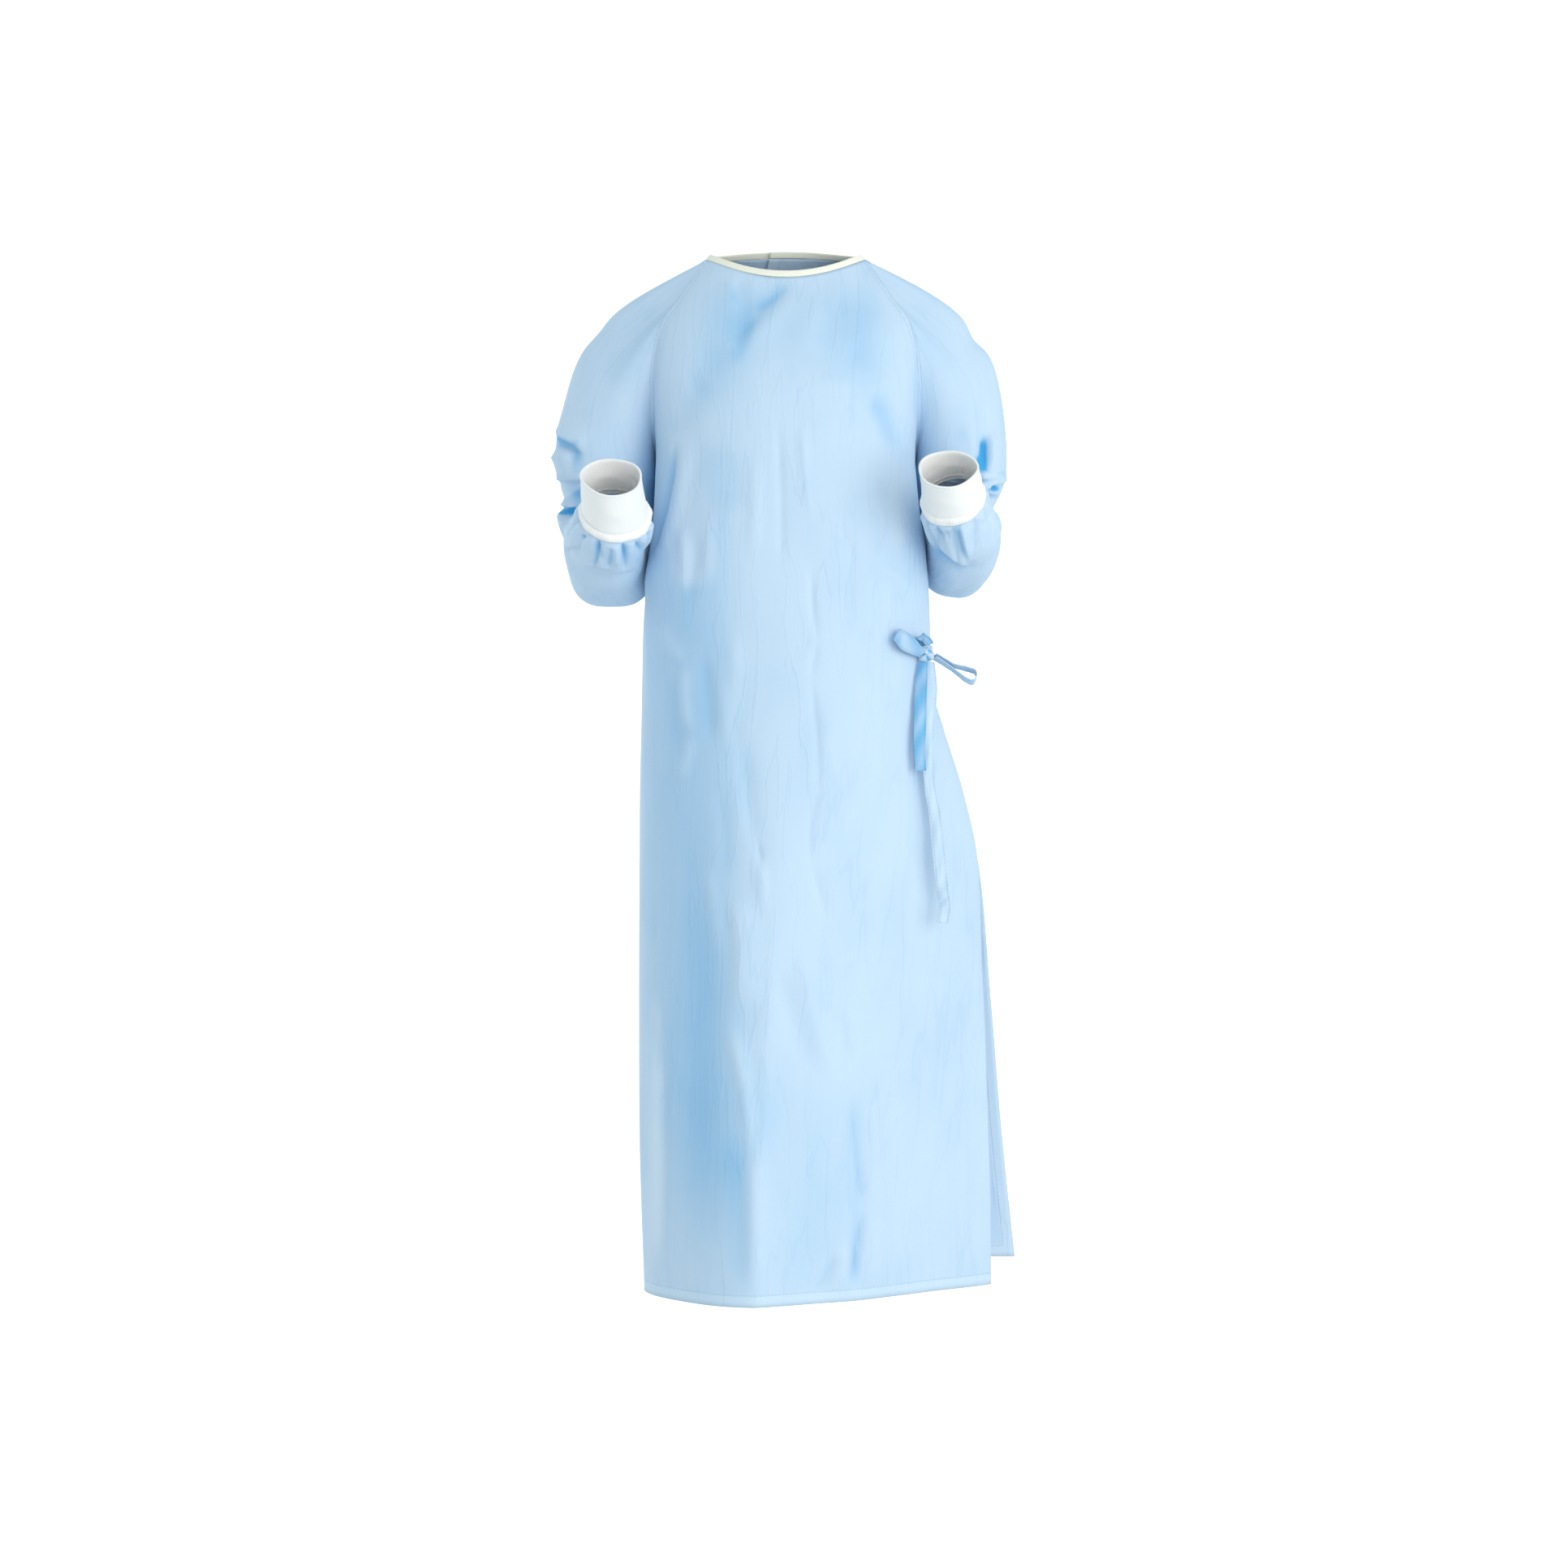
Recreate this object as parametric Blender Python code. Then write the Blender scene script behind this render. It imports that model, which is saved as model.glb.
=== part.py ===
"""Wrap-around surgical gown, worn pose, hollow, as closed cloth solids.

Metres, +Z up. The gown faces -Y, the wearer's left is +X. The origin is the middle of
the neck opening, level with the lowest points of its sides, where the gown hangs from
the wearer's shoulders. Places down the body are given as a drop below that level.

The body is a tube of oval sections. Round a section, an angle runs from 0 at the front
through 90 at the wearer's left side to 180 at the back, and is negative on the right.
"""

import math
from collections import namedtuple

import bmesh
import bpy
from mathutils import Matrix, Vector

# Driving sizes
WALL = 0.0020  # cloth
SEAM_GAP = 0.0003  # between pieces that are sewn together
LAP = 0.0046  # from the under back panel's face to the over panel's face
UNDERARM = 0.235  # drop
HEM = 1.177  # drop
WAIST = 0.452  # drop of the belt

NECK_HALF_WIDTH = 0.0925
NECK_FRONT = 0.058
NECK_BACK = 0.062
NECK_FRONT_DROP = 0.026
NECK_BACK_RISE = 0.010

SIDE_SEAM = 100.0  # angle of both side seams
FRONT_RAGLAN = 78.0  # angle at the neck where the sleeve meets the front
BACK_RAGLAN = 140.0  # angle at the neck where the sleeve meets the back

BINDING_HEIGHT = 0.0078
BINDING_THICK = 0.0026
CUFF_WALL = 0.0022
CUFF_RIDGE_LENGTH = 0.009
CUFF_RIDGE_HEIGHT = 0.0026
GATHERS = 12
GATHER_HEIGHT = 0.0042
BELT_WIDTH = 0.016
BELT_THICK = 0.0011

# Mesh fineness
YOKE_ROWS = 20  # rows of a panel beside a raglan seam, and points of a sleeve along it
NECK_POINTS = 4  # points of a sleeve along each half of its neck edge
SLEEVE_POINTS = 2 * NECK_POINTS + 2 * YOKE_ROWS  # round a sleeve
LOWER_ROWS = 17
FRONT_COLUMNS = 20
BACK_COLUMNS = 12
CUFF_POINTS = 30

TINY = 1e-4
SLOPE_STEP = 0.01  # step along a surface's w and v for its slopes
SMOOTH_STEP = 0.03  # the same where folds are raised, wider than the turn at the underarm

# One row for each level of the body: half-widths to the wearer's left and right, depths
# of front and back, x of the foremost point, y of each side, and roundness of each
# quarter, where 2 is an ellipse and 1 is a straight line with a corner at the side.
Section = namedtuple(
    "Section",
    "drop left right front back apex left_y right_y left_front right_front rear",
)
SECTIONS = (
    Section(0.235, 0.148, 0.148, 0.137, 0.118, 0.000, -0.008, -0.008, 2.3, 2.3, 2.2),
    Section(0.300, 0.152, 0.149, 0.148, 0.115, 0.000, -0.030, -0.020, 2.3, 2.3, 2.2),
    Section(0.360, 0.161, 0.156, 0.154, 0.112, 0.000, -0.050, -0.040, 2.3, 2.3, 2.2),
    Section(0.415, 0.164, 0.162, 0.158, 0.112, 0.000, -0.045, -0.035, 2.2, 2.2, 2.2),
    Section(0.490, 0.167, 0.164, 0.162, 0.116, 0.000, -0.040, -0.035, 2.1, 2.1, 2.2),
    Section(0.540, 0.181, 0.165, 0.164, 0.122, -0.003, -0.035, -0.035, 1.85, 2.0, 2.1),
    Section(0.610, 0.203, 0.1665, 0.168, 0.133, -0.008, -0.030, -0.038, 1.60, 2.0, 2.1),
    Section(0.690, 0.220, 0.1670, 0.173, 0.146, -0.013, -0.024, -0.040, 1.42, 1.95, 2.0),
    Section(0.860, 0.2255, 0.1675, 0.180, 0.168, -0.020, -0.018, -0.045, 1.28, 1.85, 2.0),
    Section(1.020, 0.2310, 0.1665, 0.186, 0.184, -0.028, -0.014, -0.050, 1.20, 1.78, 2.0),
    Section(1.177, 0.2367, 0.1615, 0.190, 0.195, -0.034, -0.011, -0.054, 1.15, 1.70, 2.0),
)

# Middle lines of front and back between the neck and the underarm.
Profile = namedtuple("Profile", "at y z")
FRONT_PROFILE = (
    Profile(0.00, -0.058, -0.026),
    Profile(0.25, -0.091, -0.080),
    Profile(0.50, -0.116, -0.134),
    Profile(0.75, -0.129, -0.186),
    Profile(1.00, -0.137, -0.235),
)
BACK_PROFILE = (
    Profile(0.00, 0.062, 0.010),
    Profile(0.25, 0.094, -0.040),
    Profile(0.50, 0.115, -0.105),
    Profile(0.75, 0.121, -0.172),
    Profile(1.00, 0.118, -0.235),
)

# Raglan seams of the wearer's left, between their ends at the neck and the underarm.
Seam = namedtuple("Seam", "at x y z")
FRONT_RAGLAN_POINTS = (
    Seam(0.20, 0.1176, -0.037, -0.043),
    Seam(0.40, 0.1410, -0.052, -0.080),
    Seam(0.60, 0.1500, -0.050, -0.134),
    Seam(0.80, 0.1500, -0.026, -0.190),
)
BACK_RAGLAN_POINTS = (
    Seam(0.20, 0.0960, 0.073, -0.018),
    Seam(0.40, 0.1290, 0.086, -0.066),
    Seam(0.60, 0.1470, 0.081, -0.124),
    Seam(0.80, 0.1510, 0.051, -0.186),
)

# Free edges of the back panels: how far round each reaches past the back's middle, and
# how far the over panel's edge stands away from the body below the waist.
Edge = namedtuple("Edge", "drop under over flare_x flare_y")
EDGES = (
    Edge(0.000, 192.0, 195.0, 0.000, 0.000),
    Edge(0.235, 200.0, 217.0, 0.000, 0.000),
    Edge(0.452, 214.0, 243.0, 0.000, 0.000),
    Edge(0.540, 216.0, 242.0, 0.006, 0.010),
    Edge(0.610, 218.0, 241.0, 0.018, 0.030),
    Edge(0.700, 220.0, 240.0, 0.033, 0.056),
    Edge(0.860, 222.0, 237.0, 0.052, 0.076),
    Edge(1.020, 224.0, 234.0, 0.069, 0.086),
    Edge(1.177, 225.0, 232.0, 0.087, 0.0955),
)

# Arm sections from the upper arm to the wrist: middle, pitch of the arm's direction from
# straight down through forward, roll that lifts the outer side, roundness, roundness of
# the quarter at its back next to the body, and radii to the outer side, to the body, to
# the front of the arm (the inside of the elbow) and to its back (the point of the elbow).
Ring = namedtuple("Ring", "at x y z pitch roll round boxy out inn front back")
RIGHT_RINGS = (
    Ring(1.0, 0.2050, 0.014, -0.2520, 0.0, 0.0, 2.0, 2.0, 0.0555, 0.045, 0.060, 0.062),
    Ring(2.0, 0.2060, 0.016, -0.2830, 12.0, 0.0, 2.1, 2.2, 0.0530, 0.046, 0.052, 0.068),
    Ring(3.0, 0.2070, 0.014, -0.3050, 32.0, 0.0, 2.4, 2.8, 0.0515, 0.050, 0.046, 0.076),
    Ring(4.0, 0.2070, 0.003, -0.3230, 55.0, 0.0, 2.9, 3.6, 0.0470, 0.051, 0.046, 0.079),
    Ring(5.0, 0.2050, -0.020, -0.3330, 78.0, 0.0, 2.9, 3.6, 0.0450, 0.046, 0.047, 0.066),
    Ring(6.0, 0.2030, -0.050, -0.3310, 92.0, 0.0, 2.5, 2.9, 0.0480, 0.041, 0.046, 0.057),
    Ring(7.0, 0.2010, -0.082, -0.3270, 102.0, 0.0, 2.2, 2.3, 0.0500, 0.041, 0.044, 0.052),
    Ring(8.0, 0.1970, -0.112, -0.3210, 112.0, 2.0, 2.0, 2.0, 0.0475, 0.041, 0.043, 0.046),
    Ring(9.0, 0.1925, -0.136, -0.3130, 122.0, 5.0, 2.0, 2.0, 0.0435, 0.040, 0.041, 0.041),
    Ring(10.0, 0.1885, -0.152, -0.3040, 131.0, 8.0, 2.0, 2.0, 0.0380, 0.038, 0.038, 0.038),
)
LEFT_RINGS = (
    Ring(1.0, 0.2050, 0.014, -0.2520, 0.0, 0.0, 2.0, 2.0, 0.0480, 0.045, 0.060, 0.062),
    Ring(2.0, 0.2040, 0.016, -0.2800, 12.0, -1.0, 2.1, 2.2, 0.0420, 0.044, 0.052, 0.068),
    Ring(3.0, 0.2045, 0.014, -0.3000, 32.0, -5.0, 2.2, 2.8, 0.0420, 0.045, 0.046, 0.074),
    Ring(4.0, 0.2040, 0.003, -0.3180, 55.0, -6.0, 2.2, 3.4, 0.0400, 0.044, 0.046, 0.075),
    Ring(5.0, 0.2020, -0.020, -0.3260, 78.0, -6.0, 2.2, 3.0, 0.0410, 0.039, 0.047, 0.062),
    Ring(6.0, 0.2010, -0.050, -0.3230, 92.0, 0.0, 2.1, 2.9, 0.0430, 0.038, 0.046, 0.054),
    Ring(7.0, 0.1985, -0.082, -0.3190, 102.0, 6.0, 2.1, 2.3, 0.0440, 0.037, 0.044, 0.049),
    Ring(8.0, 0.1960, -0.112, -0.3130, 112.0, 12.0, 2.0, 2.0, 0.0430, 0.036, 0.042, 0.044),
    Ring(9.0, 0.1910, -0.136, -0.2980, 122.0, 17.0, 2.0, 2.0, 0.0390, 0.036, 0.039, 0.039),
    Ring(10.0, 0.1860, -0.152, -0.2870, 131.0, 21.0, 2.0, 2.0, 0.0355, 0.0355, 0.0355, 0.0355),
)
# How the cloth leaves the neck, swells over the shoulder and comes down to the upper arm.
Shoulder = namedtuple("Shoulder", "fall leave arrive")
SHOULDERS = {"right": Shoulder(25.0, 0.40, 0.47), "left": Shoulder(22.0, 0.47, 0.40)}
# Where the rows of a sleeve's mesh lie, 0 at the raglan seam and 1 to 10 at the rings.
SLEEVE_ROWS = (
    0.0, 0.16, 0.36, 0.56, 0.74, 0.90, 1.1, 1.8, 2.4, 3.0,
    3.6, 4.3, 5.2, 6.4, 7.6, 8.6, 9.4, 10.0,
)

# A sleeve's folds: middle along and round the arm, its reach both ways, its slant, its height.
# Round the arm, 0 is the outer side, 90 its front, 180 towards the body and 270 its back.
Fold = namedtuple("Fold", "at around reach_at reach_around slant height")
SLEEVE_FOLDS = {
    "right": (
        Fold(0.90, 20.0, 0.09, 60.0, 0.0, 0.0060),
        Fold(1.80, 20.0, 0.40, 60.0, 0.0, -0.0050),
        Fold(2.60, 10.0, 0.40, 50.0, 0.0, 0.0050),
        Fold(3.30, 20.0, 0.35, 45.0, 0.0, -0.0040),
        Fold(7.40, 280.0, 0.50, 60.0, 0.0, -0.0050),
        Fold(0.60, 285.0, 0.12, 45.0, 0.0, -0.0060),
    ),
    "left": (
        Fold(0.92, 20.0, 0.12, 60.0, 0.0, 0.0020),
        Fold(2.20, 20.0, 0.50, 60.0, 0.0, -0.0080),
        Fold(3.40, 10.0, 0.45, 45.0, 0.0, 0.0030),
        Fold(7.40, 270.0, 0.60, 50.0, 0.0, -0.0040),
        Fold(0.60, 285.0, 0.12, 45.0, 0.0, -0.0060),
    ),
}

# The body's largest folds: a line from one place to another, its half-width and height.
Crease = namedtuple("Crease", "x0 drop0 x1 drop1 width height")
FRONT_CREASES = (
    Crease(-0.122, 0.200, -0.155, 0.370, 0.018, 0.0050),
    Crease(0.116, 0.200, 0.150, 0.330, 0.018, 0.0040),
    Crease(-0.108, 0.560, -0.120, 1.177, 0.032, -0.0040),
    Crease(0.030, 0.860, 0.075, 1.177, 0.030, 0.0045),
    Crease(0.150, 0.600, 0.175, 1.177, 0.034, -0.0040),
)
BACK_CREASES = (
    Crease(0.030, 0.200, 0.060, 0.420, 0.025, -0.0050),
    Crease(-0.075, 0.180, -0.050, 0.400, 0.025, -0.0050),
    Crease(-0.060, 0.600, -0.095, 1.177, 0.040, 0.0120),
    Crease(0.020, 0.640, 0.030, 1.177, 0.035, -0.0060),
    Crease(0.100, 0.660, 0.130, 1.177, 0.040, 0.0100),
)

# Cuffs: from the ring at the sleeve to the open ring: middle, radius, pitch and roll.
Cuff = namedtuple("Cuff", "at x y z radius pitch roll")
CUFFS = {
    "right": (
        Cuff(0.0, 0.1885, -0.1520, -0.3040, 0.0380, 131.0, 8.0),
        Cuff(0.5, 0.1900, -0.1750, -0.2830, 0.0350, 135.0, 6.0),
        Cuff(1.0, 0.1915, -0.1945, -0.2620, 0.0335, 139.0, 4.0),
    ),
    "left": (
        Cuff(0.0, 0.1860, -0.1520, -0.2870, 0.0355, 131.0, 21.0),
        Cuff(0.5, 0.1820, -0.1750, -0.2695, 0.0335, 135.0, 12.0),
        Cuff(1.0, 0.1780, -0.1945, -0.2530, 0.0325, 138.0, 5.0),
    ),
}

# Belt stretches: middle line, width, and the way the width points: its lean from upright
# towards +X, and its turn towards the front.
Band = namedtuple("Band", "x y z width lean turn")
SHORT_TAIL = (
    Band(0.1542, -0.1067, -0.4632, 0.012, 90.0, 20.0),
    Band(0.1515, -0.1130, -0.4950, 0.014, 90.0, 10.0),
    Band(0.1505, -0.1160, -0.5300, 0.014, 90.0, -8.0),
    Band(0.1500, -0.1170, -0.5600, 0.013, 90.0, -12.0),
    Band(0.1515, -0.1170, -0.5850, 0.012, 90.0, 0.0),
)
LONG_TAIL = (
    Band(0.1611, -0.1011, -0.4634, 0.013, 90.0, 12.0),
    Band(0.1625, -0.1020, -0.4950, 0.016, 90.0, 15.0),
    Band(0.1605, -0.1060, -0.5300, 0.014, 90.0, 42.0),
    Band(0.1605, -0.1090, -0.5900, 0.013, 90.0, 55.0),
    Band(0.1680, -0.1070, -0.6400, 0.014, 90.0, 30.0),
    Band(0.1730, -0.1050, -0.6900, 0.015, 90.0, 20.0),
    Band(0.1765, -0.1050, -0.7220, 0.014, 88.0, 25.0),
    Band(0.1790, -0.1080, -0.7360, 0.013, 80.0, 10.0),
    Band(0.1765, -0.1080, -0.7560, 0.012, 95.0, -15.0),
)
FRONT_LOOP = (
    Band(0.1499, -0.1079, -0.4523, 0.010, 38.0, 10.0),
    Band(0.1390, -0.1200, -0.4440, 0.018, 38.0, 0.0),
    Band(0.1285, -0.1290, -0.4360, 0.017, 38.0, -5.0),
    Band(0.1232, -0.1345, -0.4325, 0.014, 38.0, -5.0),
    Band(0.1258, -0.1390, -0.4345, 0.015, 38.0, 0.0),
    Band(0.1360, -0.1350, -0.4440, 0.018, 38.0, 10.0),
    Band(0.1536, -0.1103, -0.4546, 0.010, 38.0, 20.0),
)
SIDE_LOOP = (
    Band(0.1677, -0.0995, -0.4550, 0.009, 0.0, 60.0),
    Band(0.1790, -0.0945, -0.4612, 0.009, 0.0, 62.0),
    Band(0.1900, -0.0910, -0.4672, 0.010, 0.0, 66.0),
    Band(0.2030, -0.0890, -0.4705, 0.013, 0.0, 68.0),
    Band(0.2125, -0.0880, -0.4740, 0.015, 0.0, 70.0),
    Band(0.2145, -0.0880, -0.4800, 0.015, 0.0, 72.0),
    Band(0.2105, -0.0880, -0.4855, 0.015, 0.0, 70.0),
    Band(0.2010, -0.0890, -0.4815, 0.013, 0.0, 68.0),
    Band(0.1890, -0.0910, -0.4722, 0.010, 0.0, 66.0),
    Band(0.1780, -0.0945, -0.4650, 0.009, 0.0, 62.0),
    Band(0.1668, -0.0998, -0.4582, 0.009, 0.0, 60.0),
)
TOP_LOOP = (
    Band(0.1562, -0.1013, -0.4450, 0.009, 66.0, 30.0),
    Band(0.1525, -0.1060, -0.4392, 0.010, 66.0, 30.0),
    Band(0.1500, -0.1100, -0.4350, 0.010, 66.0, 30.0),
    Band(0.1530, -0.1150, -0.4352, 0.010, 62.0, 30.0),
    Band(0.1585, -0.1135, -0.4395, 0.010, 50.0, 30.0),
    Band(0.1619, -0.1074, -0.4436, 0.009, 45.0, 30.0),
)
KNOT_MIDDLE = Vector((0.1578, -0.1030, -0.4550))
KNOT_SIZE = Vector((0.0190, 0.0170, 0.0180))

# Neck tab on the over panel: places across the panel and down its yoke.
TAB_ACROSS = (0.60, 0.94)
TAB_DOWN = (0.10, 0.22)

BLUE = (0.36, 0.60, 0.84)
PALE_YELLOW = (0.88, 0.90, 0.78)
WHITE = (0.86, 0.86, 0.85)


def cubic(a, b, slope_a, slope_b, t):
    """Value between a and b, with their slopes over the whole step."""
    t2, t3 = t * t, t * t * t
    return (
        a * (2 * t3 - 3 * t2 + 1)
        + slope_a * (t3 - 2 * t2 + t)
        + b * (3 * t2 - 2 * t3)
        + slope_b * (t3 - t2)
    )


def between(rows, place):
    """Row of a table, smooth in every column, at a place along its first column."""
    return type(rows[0])(*smooth_columns(rows, place))


def smooth_columns(rows, place):
    """Every column of a table at a place along its first column."""
    last = len(rows) - 1
    place = min(max(place, rows[0][0]), rows[last][0])
    i = next(k for k in range(last) if place <= rows[k + 1][0])
    step = rows[i + 1][0] - rows[i][0]
    t = (place - rows[i][0]) / step

    def slope(k, column):
        a, b = rows[max(k - 1, 0)], rows[min(k + 1, last)]
        return (b[column] - a[column]) / (b[0] - a[0]) * step

    return [
        cubic(rows[i][c], rows[i + 1][c], slope(i, c), slope(i + 1, c), t)
        for c in range(len(rows[0]))
    ]


def mix(a, b, t):
    return a + (b - a) * t


def soft_step(t):
    t = min(max(t, 0.0), 1.0)
    return t * t * (3 - 2 * t)


def wrapped(angle):
    """Angle between -180 and 180."""
    return (angle + 180.0) % 360.0 - 180.0


def neck_point(angle):
    """Point of the neckline, where cloth ends and binding begins."""
    turn = math.radians(wrapped(angle))
    ahead = math.cos(turn)
    depth = NECK_FRONT if ahead > 0 else NECK_BACK
    rise = -NECK_FRONT_DROP if ahead > 0 else NECK_BACK_RISE
    return Vector((NECK_HALF_WIDTH * math.sin(turn), -depth * ahead, rise * ahead * ahead))


def body_point(drop, angle):
    """Point of the body below the underarm."""
    s = between(SECTIONS, drop)
    angle = wrapped(angle)
    if angle >= 0:
        side, side_y, roundness = s.left, s.left_y, s.left_front
    else:
        side, side_y, roundness = -s.right, s.right_y, s.right_front
    turn = math.radians(abs(angle))
    if abs(angle) <= 90:
        x = s.apex + (side - s.apex) * max(math.sin(turn), 0.0) ** (2 / roundness)
        y = side_y - (s.front + side_y) * max(math.cos(turn), 0.0) ** (2 / roundness)
    else:
        x = side * max(math.sin(turn), 0.0) ** (2 / s.rear)
        y = side_y + (s.back - side_y) * abs(math.cos(turn)) ** (2 / s.rear)
    return Vector((x, y, -drop))


def seam_point(kind, sign, at):
    """Point of a raglan seam, 0 at the neck and 1 at the underarm."""
    angle, middle = (
        (FRONT_RAGLAN, FRONT_RAGLAN_POINTS)
        if kind == "front"
        else (BACK_RAGLAN, BACK_RAGLAN_POINTS)
    )
    low = body_point(UNDERARM, sign * SIDE_SEAM)
    rows = (
        Seam(0.0, *neck_point(sign * angle)),
        *(Seam(r.at, sign * r.x, r.y, r.z) for r in middle),
        Seam(1.0, *low),
    )
    s = between(rows, at)
    return Vector((s.x, s.y, s.z))


def crease_height(creases, x, drop):
    """Height of the folds that lie near a place of a panel."""
    total = 0.0
    here = Vector((x, drop))
    for c in creases:
        a, b = Vector((c.x0, c.drop0)), Vector((c.x1, c.drop1))
        along = min(max((here - a).dot(b - a) / (b - a).length_squared, 0.0), 1.0)
        away = (here - a.lerp(b, along)).length
        total += c.height * math.exp(-((away / c.width) ** 2)) * soft_step(along * 4 + 0.2)
    return total


def drop_at(v):
    """Drop of a lower row, v from 1 at the underarm to 2 at the hem."""
    return mix(UNDERARM, HEM, v - 1)


def front_base(w, v):
    """Front panel: w from the wearer's right to left, v 0 neck, 1 underarm, 2 hem."""
    u = 2 * w - 1
    if v >= 1:
        return body_point(drop_at(v), u * SIDE_SEAM)
    sign = 1 if u >= 0 else -1
    top, low = neck_point(u * FRONT_RAGLAN), body_point(UNDERARM, u * SIDE_SEAM)
    edge_plain = neck_point(sign * FRONT_RAGLAN).lerp(body_point(UNDERARM, sign * SIDE_SEAM), v)
    middle_plain = neck_point(0).lerp(body_point(UNDERARM, 0), v)
    profile = between(FRONT_PROFILE, v)
    middle = Vector((0.0, profile.y, profile.z))
    return (
        top.lerp(low, v)
        + (middle - middle_plain) * (1 - u * u)
        + (seam_point("front", sign, v) - edge_plain) * u * u
    )


def back_point(sign, turn, v):
    """Back of the body at an angle past the side, counted on from 180 on the other side."""
    if turn > 180:
        sign, turn = -sign, 360.0 - turn
    if v >= 1:
        return body_point(drop_at(v), sign * turn)
    start = mix(BACK_RAGLAN, SIDE_SEAM, v)
    share = (turn - start) / (180.0 - start)
    top = neck_point(sign * mix(BACK_RAGLAN, 180.0, share))
    low = body_point(UNDERARM, sign * mix(SIDE_SEAM, 180.0, share))
    edge_plain = neck_point(sign * BACK_RAGLAN).lerp(body_point(UNDERARM, sign * SIDE_SEAM), v)
    middle_plain = neck_point(180).lerp(body_point(UNDERARM, 180), v)
    profile = between(BACK_PROFILE, v)
    near = (1 - share) ** 2
    return (
        top.lerp(low, v)
        + (seam_point("back", sign, v) - edge_plain) * near
        + (Vector((0.0, profile.y, profile.z)) - middle_plain) * (1 - near)
    )


def edge_at(v):
    return between(EDGES, drop_at(v) if v > 1 else UNDERARM * v)


def back_turn(reach_column, w, v):
    """Angle of a back panel's place, w from its seam to its free edge."""
    start = mix(BACK_RAGLAN, SIDE_SEAM, min(v, 1.0))
    return mix(start, getattr(edge_at(v), reach_column), w)


def normal_of(surface, w, v, step=SLOPE_STEP):
    """Outward direction of a panel whose w runs anticlockwise seen from above."""
    w0, w1 = max(w - step, 0.0), min(w + step, 1.0)
    v0, v1 = max(v - step, 0.0), min(v + step, 2.0)
    across = surface(w1, v) - surface(w0, v)
    down = surface(w, v1) - surface(w, v0)
    return down.cross(across).normalized()


def over_lap(turn, v):
    """How far the over panel lies off the body, to clear the under panel's edge."""
    start = mix(BACK_RAGLAN, SIDE_SEAM, min(v, 1.0))
    return LAP * soft_step((turn - start) / (356.0 - edge_at(v).under - start))


def front_surface(w, v):
    base = front_base(w, v)
    free = soft_step(min(w, 1 - w) * 8)
    height = crease_height(FRONT_CREASES, base.x, -base.z) * free
    return base + normal_of(front_base, w, v, SMOOTH_STEP) * height


def under_base(w, v):
    return back_point(1, back_turn("under", w, v), v)


def over_base(w, v):
    """Over panel: moved out over the under panel, its free edge flared below the waist."""
    turn, edge = back_turn("over", w, v), edge_at(v)
    base = back_point(-1, turn, v)
    away = Vector((base.x, base.y, 0.0)).normalized()
    past = min(max((turn - 180.0) / (edge.over - 180.0), 0.0), 1.0) ** 1.6
    flare = Vector((edge.flare_x, edge.flare_y, 0.0)) * past
    return base + away * over_lap(turn, v) + flare


def under_surface(w, v):
    """Under panel: only its troughs, because the over panel lies close on it."""
    base = under_base(w, v)
    height = min(crease_height(BACK_CREASES, base.x, -base.z), 0.0) * soft_step(w * 4)
    return base + normal_of(under_base, w, v, SMOOTH_STEP) * height


def over_surface(w, v):
    """Over panel: only its ridges."""
    base = over_base(w, v)
    height = max(crease_height(BACK_CREASES, base.x, -base.z), 0.0) * soft_step(w * 4)
    return base - normal_of(over_base, w, v, SMOOTH_STEP) * height


def start_point(sign, around):
    """Point of a sleeve's upper edge: neck, front seam, underarm, back seam, neck."""
    k = (around / 360.0) % 1.0 * SLEEVE_POINTS
    if k <= NECK_POINTS:
        middle = (FRONT_RAGLAN + BACK_RAGLAN) / 2
        return neck_point(sign * mix(middle, FRONT_RAGLAN, k / NECK_POINTS))
    if k <= NECK_POINTS + YOKE_ROWS:
        return seam_point("front", sign, (k - NECK_POINTS) / YOKE_ROWS)
    if k <= NECK_POINTS + 2 * YOKE_ROWS:
        return seam_point("back", sign, 2 - (k - NECK_POINTS) / YOKE_ROWS)
    middle = (FRONT_RAGLAN + BACK_RAGLAN) / 2
    share = (k - NECK_POINTS - 2 * YOKE_ROWS) / NECK_POINTS
    return neck_point(sign * mix(BACK_RAGLAN, middle, share))


def ring_axes(sign, pitch, roll):
    """Outer and front directions of an arm section, and the arm's direction."""
    turn, lean = math.radians(pitch), math.radians(roll)
    lifted = Matrix.Rotation(-sign * lean, 3, "Y")
    outer = lifted @ Vector((sign, 0, 0))
    front = lifted @ Vector((0, -math.cos(turn), math.sin(turn)))
    axis = lifted @ Vector((0, -math.sin(turn), -math.cos(turn)))
    return outer, front, axis


def rounded(value, roundness):
    """Sine or cosine of a rounder, squarer ring."""
    return math.copysign(abs(value) ** (2 / roundness), value)


def ring_point(sign, ring, around):
    turn = math.radians(around)
    outer, front, _ = ring_axes(sign, ring.pitch, ring.roll)
    side = ring.out if math.cos(turn) > 0 else ring.inn
    face = ring.front if math.sin(turn) > 0 else ring.back
    behind = math.cos(turn) < 0 and math.sin(turn) < 0
    roundness = ring.boxy if behind else ring.round
    return (
        Vector((sign * ring.x, ring.y, ring.z))
        + outer * side * rounded(math.cos(turn), roundness)
        + front * face * rounded(math.sin(turn), roundness)
    )


def arm(sign):
    """Rings and shoulder of a side."""
    return (LEFT_RINGS, SHOULDERS["left"]) if sign > 0 else (RIGHT_RINGS, SHOULDERS["right"])


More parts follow.
